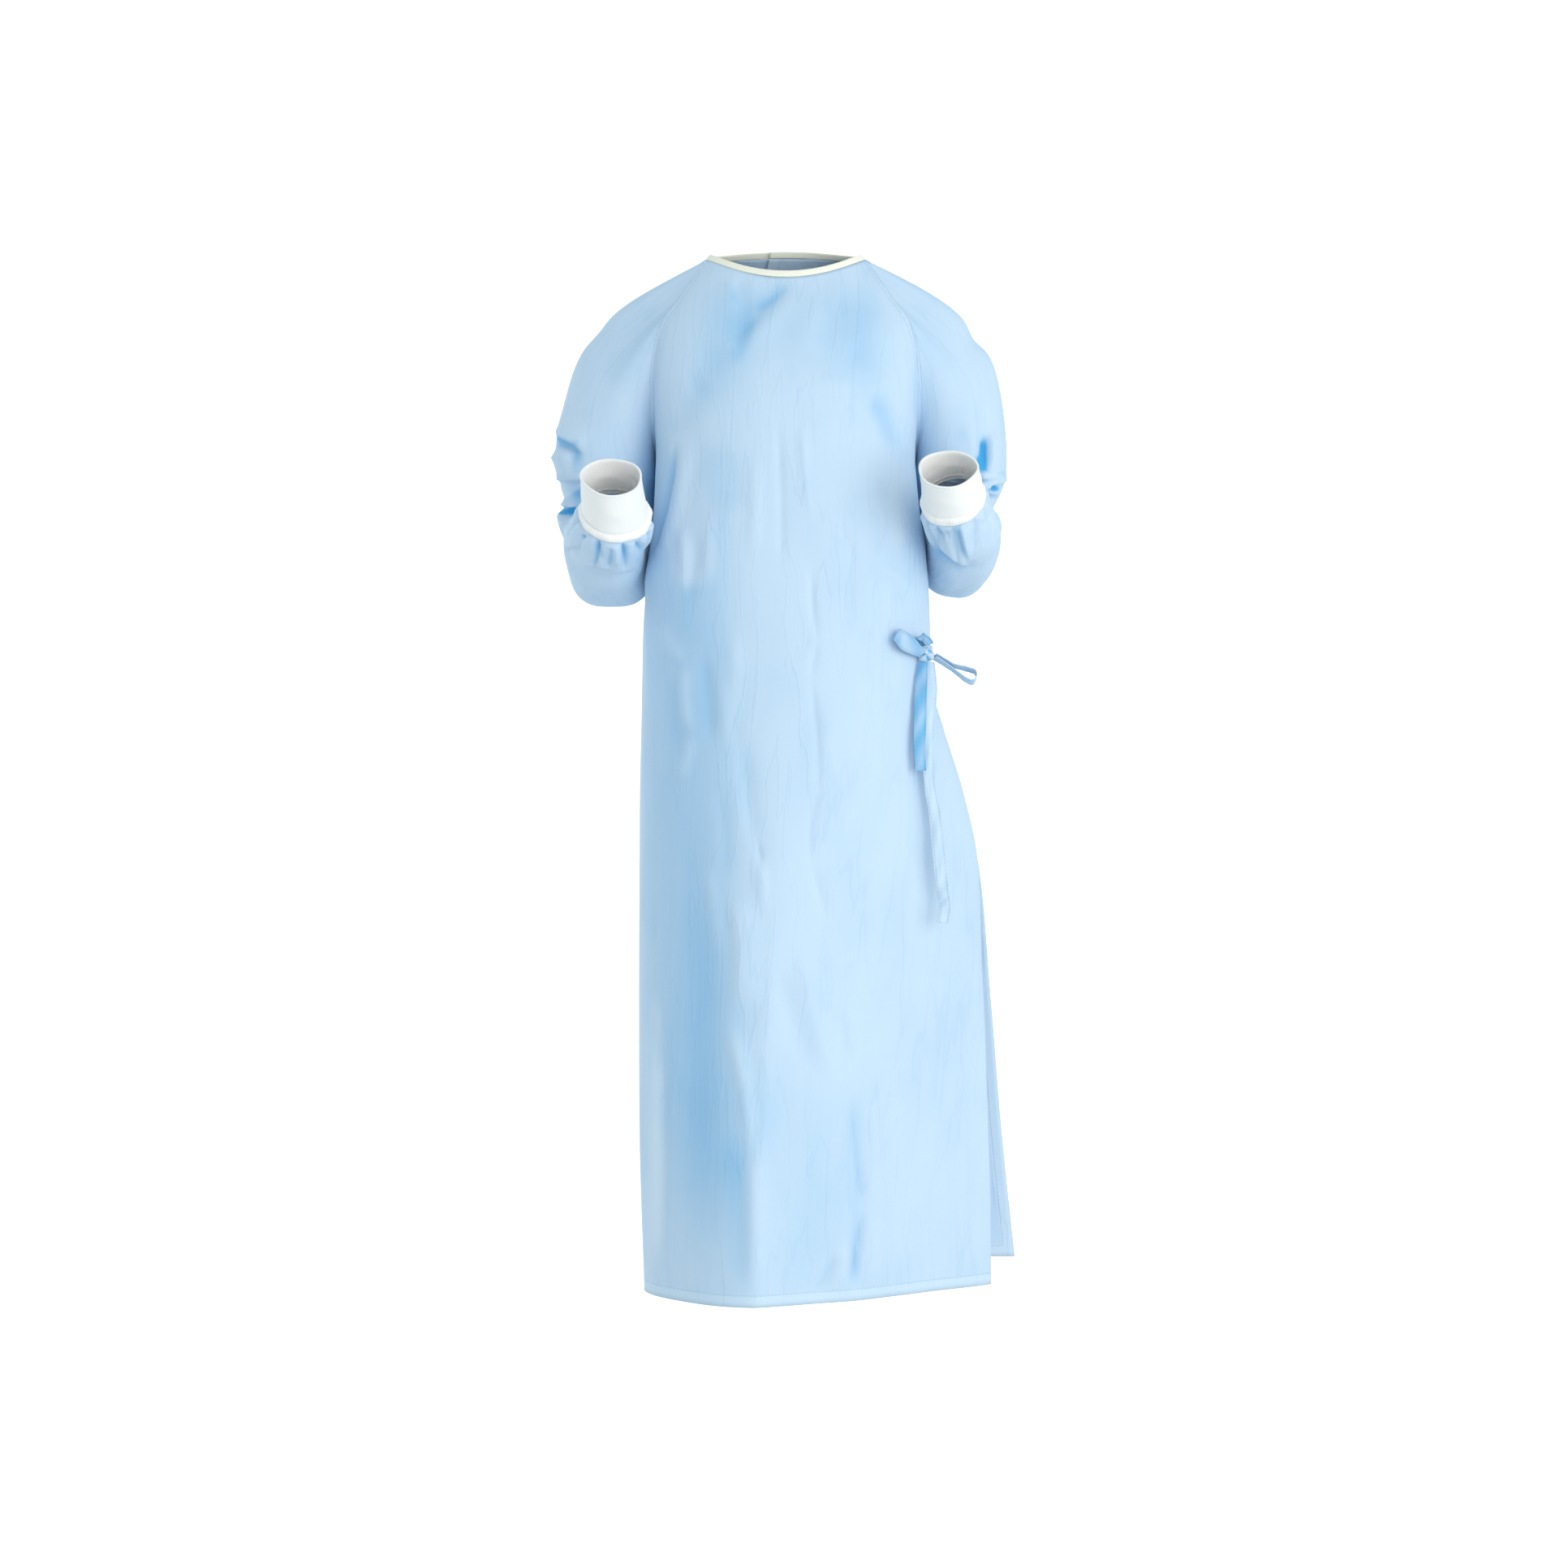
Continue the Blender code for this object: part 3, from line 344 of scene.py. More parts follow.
LONG_TAIL = (
    Band(0.1611, -0.1011, -0.4634, 0.013, 90, 0),
    Band(0.1625, -0.102, -0.495, 0.016, 90, -14),
    Band(0.1605, -0.106, -0.53, 0.015, 90, -18),
    Band(0.1605, -0.109, -0.59, 0.013, 90, -10),
    Band(0.168, -0.107, -0.64, 0.014, 90, 0),
    Band(0.173, -0.105, -0.69, 0.015, 90, -8),
    Band(0.1765, -0.105, -0.722, 0.014, 88, 10),
    Band(0.179, -0.108, -0.736, 0.013, 80, 10),
    Band(0.1765, -0.108, -0.756, 0.012, 95, -15),
)
FRONT_LOOP = (
    Band(0.1499, -0.1079, -0.4523, 0.01, 38, 10),
    Band(0.139, -0.12, -0.444, 0.018, 38, 0),
    Band(0.1285, -0.129, -0.436, 0.017, 38, -5),
    Band(0.1232, -0.1345, -0.4325, 0.014, 38, -5),
    Band(0.1258, -0.139, -0.4345, 0.015, 38, 0),
    Band(0.136, -0.135, -0.444, 0.018, 38, 10),
    Band(0.1536, -0.1103, -0.4546, 0.01, 38, 20),
)
SIDE_LOOP = (
    Band(0.1677, -0.0995, -0.455, 0.009, 0, 60),
    Band(0.179, -0.0945, -0.4612, 0.009, 0, 62),
    Band(0.19, -0.091, -0.4672, 0.01, 0, 66),
    Band(0.203, -0.089, -0.4705, 0.013, 0, 68),
    Band(0.2125, -0.088, -0.474, 0.015, 0, 70),
    Band(0.2145, -0.088, -0.48, 0.015, 0, 72),
    Band(0.2105, -0.088, -0.4855, 0.015, 0, 70),
    Band(0.201, -0.089, -0.4815, 0.013, 0, 68),
    Band(0.189, -0.091, -0.4722, 0.01, 0, 66),
    Band(0.178, -0.0945, -0.465, 0.009, 0, 62),
    Band(0.1668, -0.0998, -0.4582, 0.009, 0, 60),
)
TOP_LOOP = (
    Band(0.1562, -0.1013, -0.445, 0.009, 66, 30),
    Band(0.1525, -0.106, -0.4392, 0.01, 66, 30),
    Band(0.15, -0.11, -0.435, 0.01, 66, 30),
    Band(0.153, -0.115, -0.4352, 0.01, 62, 30),
    Band(0.1585, -0.1135, -0.4395, 0.01, 50, 30),
    Band(0.1619, -0.1074, -0.4436, 0.009, 45, 30),
)

# Creases of the front, seen from the camera. Its TONE rows are painted shade, and painted light where
# their value is negative.
FRONT_FINE = (
    RIDGE(4.7, -26, -65.4, -100.7, -5.6, 10, 24, -3),
    RIDGE(15.9, -33.5, -46.7, -102.6, 0, 12, 12, 1.6),
    RIDGE(-58.9, -19.4, -43.9, -65.2, 1.9, 10, 10, -1.8),
    RIDGE(-71, -22.2, -58.9, -54, 0, 9, 9, 1.2),
    RIDGE(-71, -95.1, -114, -149.3, 3.7, 22, 22, -2.2),
    RIDGE(39.3, -46.5, 20.6, -110.1, -3.7, 16, 16, 1.6),
    RIDGE(95.3, -152.1, 134.6, -218.5, 4.7, 16, 16, -4.2),
    RIDGE(117.8, -145.6, 151.4, -211, 3.7, 12, 12, 2.4),
    RIDGE(67.3, -100.7, 119.6, -138.1, 3.7, 16, 16, -2),
    RIDGE(-93.5, -134.4, -129, -208.2, -3.7, 16, 16, -2.8),
    RIDGE(-26.2, -138.1, 86, -143.7, -2.8, 10, 14, 1.6),
    SHARP(-125.2, -204.5, -159.8, -356.8, 6.5, 6, 5, -6.4),
    RIDGE(-112.1, -208.2, -145.8, -343.7, 5.6, 8, 8, 4.1),
    SHARP(-9.3, -184.9, -5.6, -353.1, 1.9, 5, 5, -2.6),
    SHARP(18.7, -189.5, 29.9, -297, -1.9, 5, 5, 2.2),
    RIDGE(-35.5, -222.2, -39.3, -343.7, 1.9, 8, 8, 2),
    RIDGE(-121.5, -297, -117.8, -390.5, 2.8, 7, 7, 2.4),
    RIDGE(-103.7, -311, -117.8, -395.1, 2.8, 9, 9, -2.4),
    RIDGE(-86, -297, -89.7, -371.8, -1.9, 8, 8, 1.4),
    SHARP(86, -355, 145.8, -397.9, 4.7, 6, 6, -3.2),
    RIDGE(93.5, -345.6, 151.4, -385.8, 4.7, 6, 6, 2.6),
    SHARP(63.6, -297, 86, -355, -2.8, 6, 6, -2),
    SHARP(29.9, -353.1, 37.4, -437.2, -2.8, 5, 4, -2.9),
    SHARP(37.4, -437.2, 28, -479.3, 0, 5, 4, -2.6),
    SHARP(28, -479.3, 37.4, -607.3, 2.8, 5, 4, -2.9),
    SHARP(37.4, -607.3, 28, -696.1, -2.8, 5, 4, -2.9),
    SHARP(28, -696.1, 46.7, -759.6, 2.8, 6, 4, -3.5),
    RIDGE(48.6, -493.3, 41.1, -633.5, 2.8, 12, 12, 1.9),
    RIDGE(-145.8, -413.8, -115, -460.6, -3.7, 7, 7, 2.8),
    RIDGE(-115, -460.6, -109.3, -544.7, -4.7, 7, 7, 3),
    RIDGE(-109.3, -544.7, -125.2, -597.9, 2.8, 7, 7, 2.5),
    RIDGE(-97.2, -446.5, -87.9, -558.7, 2.8, 9, 9, -2.3),
    RIDGE(-130.8, -470.8, -126.2, -568, -1.9, 9, 9, -1.9),
    RIDGE(-76.6, -474.6, -69.2, -568, 2.8, 8, 8, 1.4),
    RIDGE(-60.7, -418.5, -66.4, -540, 3.7, 10, 10, 1.7),
    RIDGE(-49.5, -544.7, -31.8, -680.2, -3.7, 12, 8, -2.3),
    RIDGE(-78.5, -596.1, -71, -717.6, 3.7, 9, 9, -1.7),
    SHARP(-33.6, -669, -27.1, -689.5, 0, 4, 4, -2.9),
    RIDGE(-29.9, -691.4, -24.3, -750.3, 1.9, 6, 9, 2.5),
    RIDGE(-93.5, -689.5, -82.2, -801.7, 3.7, 8, 8, 1.7),
    RIDGE(15.9, -792.3, 63.6, -960.6, -5.6, 10, 10, 3.8),
    RIDGE(-7.5, -811, 34.6, -941.9, -4.7, 10, 10, -3.2),
    SHARP(63.6, -854, 76.6, -927.9, -1.9, 5, 4, -3.5),
    SHARP(76.6, -955.9, 91.6, -1096.1, -3.7, 6, 4, -4.3),
    RIDGE(102.8, -960.6, 106.5, -1100.7, -2.8, 9, 9, 3.5),
    SHARP(91.6, -1091.4, 76.6, -1186.7, -1.9, 4, 6, -6.7),
    RIDGE(100.9, -1100.7, 104.7, -1186.7, 0, 9, 10, 4.9),
    SHARP(57.9, -1142.8, 32.7, -1191.4, 1.9, 4, 5, -3.8),
    RIDGE(65.4, -1128.8, 56.1, -1186.7, 0, 7, 7, 3.8),
    RIDGE(-59.8, -726.9, -57.9, -867.1, 7.5, 20, 10, 4.9),
    RIDGE(-99.1, -708.2, -99.1, -1192.3, 0, 30, 30, -3.4),
    RIDGE(-67.3, -876.4, -41.1, -1026, 5.6, 10, 9, 3.8),
    RIDGE(-37.4, -1007.3, -39.3, -1194.2, 2.8, 12, 12, 4.3),
    SHARP(-145.8, -848.4, -143, -1192.3, 0, 5, 5, -3.8),
    RIDGE(-154.2, -857.8, -153.3, -1192.3, 0, 6, 6, 2.9),
    RIDGE(151.4, -755, 160.7, -1175.5, 4.7, 22, 22, 2.3),
    SHARP(200, -773.6, 220.6, -1175.5, 2.8, 9, 9, -3.5),
    RIDGE(218.7, -764.3, 233.6, -1175.5, 2.8, 7, 7, 3.5),
    RIDGE(128, -446.5, 114, -521.3, 2.8, 14, 12, 2.6),
    RIDGE(143.9, -521.3, 149.5, -726.9, 3.7, 8, 8, -3.8),
    TONE(-140.2, -76.4, 140.2, -67.1, 0, 66, 60, 0.17),
    TONE(100.9, -22.2, 63.6, -175.5, 0, 48, 50, 0.2),
    TONE(-56.1, -9.2, -95.3, -194.2, 0, 50, 44, 0.18),
    TONE(-63.6, -203.6, -58.9, -297, 0, 26, 30, 0.14),
    TONE(127.1, -222.2, 130.8, -343.7, 0, 16, 14, -0.7),
    TONE(-114, -250.3, -108.4, -381.1, 0, 20, 16, -0.55),
    TONE(7.5, -25, -35.5, -57.8, 1.9, 5, 9, 0.22),
    TONE(-35.5, -57.8, -61.7, -121.3, 3.7, 7, 12, 0.16),
    TONE(-69.2, -21.3, -56.1, -52.1, 0, 6, 6, 0.12),
    TONE(100.9, -141.9, 136.4, -265.2, 0, 16, 13, 0.22),
    TONE(-110.3, -110.1, -97.2, -1278.3, -7.5, 78, 78, 0.38),
    TONE(-58.9, -988.6, -40.2, -1203.6, 0, 18, 22, 0.2),
    TONE(39.3, -885.8, 62.6, -1250.3, 0, 95, 95, 0.19),
    TONE(-127.1, -211, -151.4, -315.7, 6.5, 9, 9, 0.1),
    TONE(84.1, -1026, 76.6, -1186.7, -1.9, 7, 7, 0.09),
    TONE(-151.4, -843.7, -151.4, -1192.3, 0, 7, 7, -0.8),
    FOLD(7.5, -163.4, 119.6, -161.5, 1.9, 2.6, 2.6, 0.7),
    FOLD(41.1, -435.3, 123.4, -430.7, -0.9, 2.6, 2.6, -0.8),
    FOLD(-35.5, -687.7, 15, -684.9, 0, 2.6, 2.6, -0.8),
    FOLD(87.9, -678.3, 200, -665.2, -0.9, 2.6, 2.6, -0.8),
    FOLD(86, -924.1, 216.8, -914.8, -0.9, 2.6, 2.6, -0.8),
    FOLD(-16.8, -937.2, 41.1, -936.3, 0, 2.6, 2.6, -0.7),
)

# Creases of the sleeves, seen from the camera. Their TONE rows are painted shade.
SLEEVE_FINE = {
    "right": (
        RIDGE(-256.1, -178.3, -229.9, -176.4, 0.9, 3, 3, -1.2),
        LIP(-269.2, -195.1, -228, -219.4, -1.9, 10, 8, 8),
        SHARP(-278.5, -219.4, -239.3, -227.9, 0, 7, 13, 11),
        SHARP(-265.4, -235.3, -231.8, -239.1, 0, 8, 8, 2),
        LIP(-272.9, -254, -226.2, -253.1, 0, 10, 9, 6.5),
        RIDGE(-259.8, -265.2, -231.8, -270.8, 0, 6, 6, -2),
        SHARP(-259.8, -270.8, -233.6, -284.9, -0.9, 5, 5, 4.6),
        LIP(-261.7, -283.9, -237.4, -280.2, 0.9, 6, 7, 9.5),
        SHARP(-271, -292.3, -250.5, -306.4, 0, 5, 9, 8),
        SHARP(-255.1, -315.7, -235.5, -288.6, -0.9, 5, 5, 3.4),
        LIP(-259.8, -333.5, -235.5, -326.9, 0, 9, 7, 4),
        SHARP(-236.4, -319.4, -220.6, -316.6, 1.9, 3.5, 3.5, -5),
        SHARP(-237.4, -312.9, -220.6, -312, -0.9, 3.5, 3.5, 3.6),
        SHARP(-216.8, -317.6, -222.4, -356.8, 2.8, 3.5, 3.5, -3.8),
        SHARP(-200.9, -323.2, -204.7, -355.9, 1.9, 3.5, 3.5, -3.6),
        RIDGE(-210.3, -321.3, -213.1, -353.1, 0.9, 4.5, 4.5, 2.4),
        RIDGE(-195.3, -319.4, -194.4, -353.1, 0.9, 4.5, 4.5, 2),
        SHARP(-189.7, -317.6, -185, -358.7, 1.9, 3.5, 3.5, -3.2),
        SHARP(-178.5, -317.6, -165.4, -335.3, 0.9, 3.5, 3.5, -3.4),
        RIDGE(-172, -315.7, -157, -330.7, 0, 4, 4, 2.2),
        SHARP(-161.7, -310.1, -152.3, -320.4, 0, 3, 3, -2.8),
        SHARP(-166.4, -345.6, -155.1, -339.1, 0, 2.5, 3.5, -3),
        LIP(-234.6, -351.2, -196.3, -356.8, 0.9, 8, 8, 3.4),
        LIP(-200, -364.3, -156.1, -355.9, 1.9, 8, 8, 3),
        RIDGE(-239.3, -375.5, -213.1, -388.6, -1.9, 7, 7, 1.8),
        RIDGE(-185, -373.6, -160.7, -381.1, 1.9, 8, 8, 1.6),
        TONE(-123.4, -40.9, -224.3, -156.8, 0, 44, 44, 0.2),
        TONE(-261.7, -204.5, -229.9, -213.8, 0, 4.5, 6, 1),
        TONE(-238.3, -216.6, -237.4, -252.1, 0, 9, 10, 0.5),
        TONE(-246.7, -263.4, -238.3, -283, 0, 9, 9, 0.55),
        TONE(-263.6, -289.5, -234.6, -286.7, 0, 4, 4, 0.9),
        TONE(-249.5, -295.1, -247.7, -323.2, 0, 6, 4, 0.35),
        TONE(-237.4, -318.5, -221.5, -316.6, 1.9, 2.6, 2.6, 0.3),
        TONE(-216.8, -315.7, -222.4, -356.8, 2.8, 2.5, 7, 0.26),
        TONE(-200.9, -321.3, -204.7, -355.9, 1.9, 2.5, 6, 0.2),
        TONE(-189.7, -315.7, -185, -358.7, 1.9, 7, 2.5, 0.22),
        TONE(-178.5, -315.7, -165.4, -335.3, 0.9, 5, 2.5, 0.28),
        TONE(-161.7, -308.2, -152.3, -320.4, 0, 3, 3, 0.3),
        TONE(-231.8, -340, -155.1, -334.4, 0, 15, 14, 0.2),
    ),
    "left": (
        RIDGE(229.9, -138.1, 252.3, -145.6, 0, 8, 8, -1.4),
        RIDGE(203.7, -184.9, 220.6, -231.6, 2.8, 8, 8, 2.4),
        LIP(233.6, -195.1, 232.7, -244.7, 0, 9, 14, 8),
        SHARP(229.9, -203.6, 219.6, -235.3, 2.8, 5, 6, -3.4),
        LIP(216.8, -240, 239.3, -240.9, 0, 6, 6, -4),
        SHARP(221.5, -250.3, 239.3, -246.5, 0.9, 4, 4, 5),
        SHARP(222.4, -257.8, 237.4, -263.4, 0, 4, 4, 3),
        LIP(229.9, -263.4, 252.3, -254, 0.9, 6, 5, 7.5),
        SHARP(232.7, -255.9, 246.7, -269, 0, 4, 5, -4.6),
        SHARP(250.5, -248.4, 254.2, -259.6, 0, 6, 6, 3.4),
        LIP(221.5, -267.1, 250.5, -271.8, 0, 6, 6, 6),
        SHARP(250.5, -270.8, 235.5, -285.8, 0, 5, 5, -3.4),
        LIP(198.1, -297.9, 209.3, -343.7, -0.9, 9, 9, 6.5),
        RIDGE(209.3, -343.7, 213.1, -360.6, 0, 6, 6, -2.4),
        SHARP(174.8, -304.5, 180.4, -323.2, 0, 3.5, 3.5, -3.4),
        SHARP(184.1, -306.4, 187.9, -323.2, 0, 3.5, 3.5, -3),
        RIDGE(157, -311, 172, -329.7, -1.9, 8, 8, -3.6),
        LIP(170.1, -323.2, 213.1, -358.7, -1.9, 14, 10, 5),
        RIDGE(175.7, -351.2, 198.1, -377.4, 0, 9, 9, 1.8),
        RIDGE(231.8, -297, 244.9, -343.7, 2.8, 9, 9, 2),
        SHARP(237.4, -285.8, 222.4, -306.4, 1.9, 6, 6, -2),
        TONE(127.1, -35.3, 207.5, -138.1, 0, 36, 36, 0.14),
        TONE(231.8, -201.7, 230.8, -250.3, 0, 1.6, 5, 0.62),
        TONE(227.1, -224.1, 222.4, -252.1, 0, 4, 7, 0.6),
        TONE(234.6, -255.9, 248.6, -265.2, 0, 3, 5, 0.8),
        TONE(237.4, -244.7, 254.2, -244.7, 0, 3, 3, 0.35),
        TONE(221.5, -252.1, 232.7, -250.3, 0, 3, 3, 0.55),
        TONE(224.3, -263.4, 238.3, -266.2, 0, 3, 3, 0.4),
        TONE(198.1, -298.9, 208.4, -340.9, 0.9, 2, 6, 0.6),
        TONE(172, -304.5, 179.4, -317.6, 0, 3, 3, 0.25),
        TONE(182.2, -304.5, 186.9, -317.6, 0, 3, 3, 0.22),
        TONE(166.4, -325, 210.3, -361.5, 0, 8, 9, 0.34),
        TONE(158.9, -311, 170.1, -357.8, 0, 11, 11, 0.22),
    ),
}

# Creases of the back, seen from behind with x towards the wearer's left.
BACK_FINE = (
    RIDGE(-60, -40, -95, -150, -6, 12, 12, -3.5),
    RIDGE(30, -60, 10, -190, 5, 14, 12, -2.9),
    SHARP(-70, -230, -105, -380, -5, 6, 6, -2.6),
    RIDGE(-20, -200, -30, -400, 6, 12, 12, 2.9),
    RIDGE(60, -260, 80, -430, -5, 10, 12, -2.6),
    RIDGE(-100, -430, -60, -620, 8, 12, 12, 3.2),
    SHARP(-40, -470, -52, -690, -4, 6, 5, -2.6),
    RIDGE(15, -480, 0, -760, 7, 12, 12, 2.6),
    RIDGE(70, -500, 95, -800, -6, 14, 12, -3.2),
    RIDGE(-120, -700, -135, -1170, 5, 14, 14, -2.9),
    SHARP(-25, -800, -10, -1160, 5, 6, 5, -2.6),
    RIDGE(60, -830, 75, -1170, -5, 12, 14, 2.9),
    RIDGE(150, -720, 185, -1170, 6, 12, 14, -2.9),
    FOLD(-130, -435, 130, -432, 0, 2.6, 2.6, -0.8),
    FOLD(-150, -688, 160, -684, 0, 2.6, 2.6, 0.8),
    FOLD(-150, -937, 180, -934, 0, 2.6, 2.6, -0.8),
)

# Fullness of both sleeves where they lie against the body.
INNER_FOLDS = (
    Fold(0.7, 186, 0.55, 44, 0, 0.0085),
    Fold(1.4, 200, 0.9, 38, 0, 0.0095),
    Fold(3, 202, 1.2, 34, 0, 0.008),
    Fold(4.6, 186, 1.8, 30, 0, 0.006),
)

# Finer folds of the sleeves, away from the front.
SLEEVE_HIDDEN = {
    "right": (
        *INNER_FOLDS,
        Fold(1.9, 262, 0.22, 40, 0.004, -0.0026),
        Fold(2.7, 300, 0.2, 34, -0.005, 0.0024),
        Fold(3.3, 240, 0.22, 38, 0.004, -0.0026),
        Fold(4.6, 318, 0.26, 30, -0.006, -0.0022),
        Fold(5.6, 236, 0.3, 34, 0.005, 0.0022),
        Fold(2.6, 178, 0.26, 40, 0.004, -0.0028),
        Fold(4.2, 140, 0.3, 44, -0.004, -0.0024),
        Fold(0.45, 300, 0.05, 20, 0.003, -0.002),
    ),
    "left": (
        *INNER_FOLDS,
        Fold(2, 270, 0.24, 36, 0.004, -0.0026),
        Fold(2.9, 304, 0.2, 32, -0.004, 0.0022),
        Fold(3.6, 246, 0.24, 38, 0.005, -0.0024),
        Fold(5, 312, 0.28, 30, -0.006, -0.002),
        Fold(6, 240, 0.3, 32, 0.004, 0.002),
        Fold(2.8, 176, 0.26, 40, -0.004, -0.0026),
        Fold(4.6, 138, 0.3, 40, 0.004, -0.0022),
        Fold(0.5, 292, 0.05, 22, -0.003, -0.002),
    ),
}

# Belt ends: the solid's name, its line, its flat size, how crumpled it is, and its share of painted shade
# (painted light where negative).
BELT_ENDS = (
    ("belt_tail_short", SHORT_TAIL, (0.014, 0.123), 0.0008, 0.58),
    ("belt_tail_long", LONG_TAIL, (0.014, 0.296), 0.0009, -0.40),
    ("belt_loop_front", FRONT_LOOP, (0.016, 0.075), 0.0006, 0.40),
    ("belt_loop_side", SIDE_LOOP, (0.012, 0.110), 0.0003, 0.10),
    ("belt_loop_top", TOP_LOOP, (0.010, 0.030), 0.0002, 0.50),
)


def cubic(a: float, b: float, slope_a: float, slope_b: float, t: float) -> float:
    """Value between a and b.

    Args:
        a: value at the start.
        b: value at the end.
        slope_a: slope at the start, over the whole step.
        slope_b: slope at the end, over the whole step.
        t: place between them, from 0 to 1.

    Returns:
        The value at t.
    """
    t2, t3 = t * t, t * t * t
    start = a * (2 * t3 - 3 * t2 + 1) + slope_a * (t3 - 2 * t2 + t)
    return start + b * (3 * t2 - 2 * t3) + slope_b * (t3 - t2)


@lru_cache(maxsize=None)
def between(rows: tuple, place: float) -> tuple:
    """Row of a table, smooth in every column.

    Args:
        rows: the table, in order of its first column.
        place: where along the first column.

    Returns:
        A row of the table's own type.
    """
    last = len(rows) - 1
    place = min(max(place, rows[0][0]), rows[last][0])
    i = next(k for k in range(last) if place <= rows[k + 1][0])
    step = rows[i + 1][0] - rows[i][0]
    t = (place - rows[i][0]) / step
    values = []
    for c in range(len(rows[0])):
        slopes = []
        for k in (i, i + 1):
            a, b = rows[max(k - 1, 0)], rows[min(k + 1, last)]
            slopes.append((b[c] - a[c]) / (b[0] - a[0]) * step)
        values.append(cubic(rows[i][c], rows[i + 1][c], slopes[0], slopes[1], t))
    return type(rows[0])(*values)


def mix(a: float, b: float, t: float) -> float:
    """Value from a at t = 0 to b at t = 1."""
    return a + (b - a) * t


def soft_step(t: Any) -> Any:
    """Smooth step from 0 to 1, of a number or an array of numbers."""
    t = np.clip(t, 0.0, 1.0)
    return t * t * (3 - 2 * t)


def bell(away: Any, reach: Any) -> Any:
    """Smooth hump: 1 in the middle, 0.37 at its reach, and next to nothing at three times that."""
    return np.exp(-((away / reach) ** 2))


def wrapped(angle: Any) -> Any:
    """Angle or angles in degrees, brought between -180 and 180."""
    return (angle + 180.0) % 360.0 - 180.0


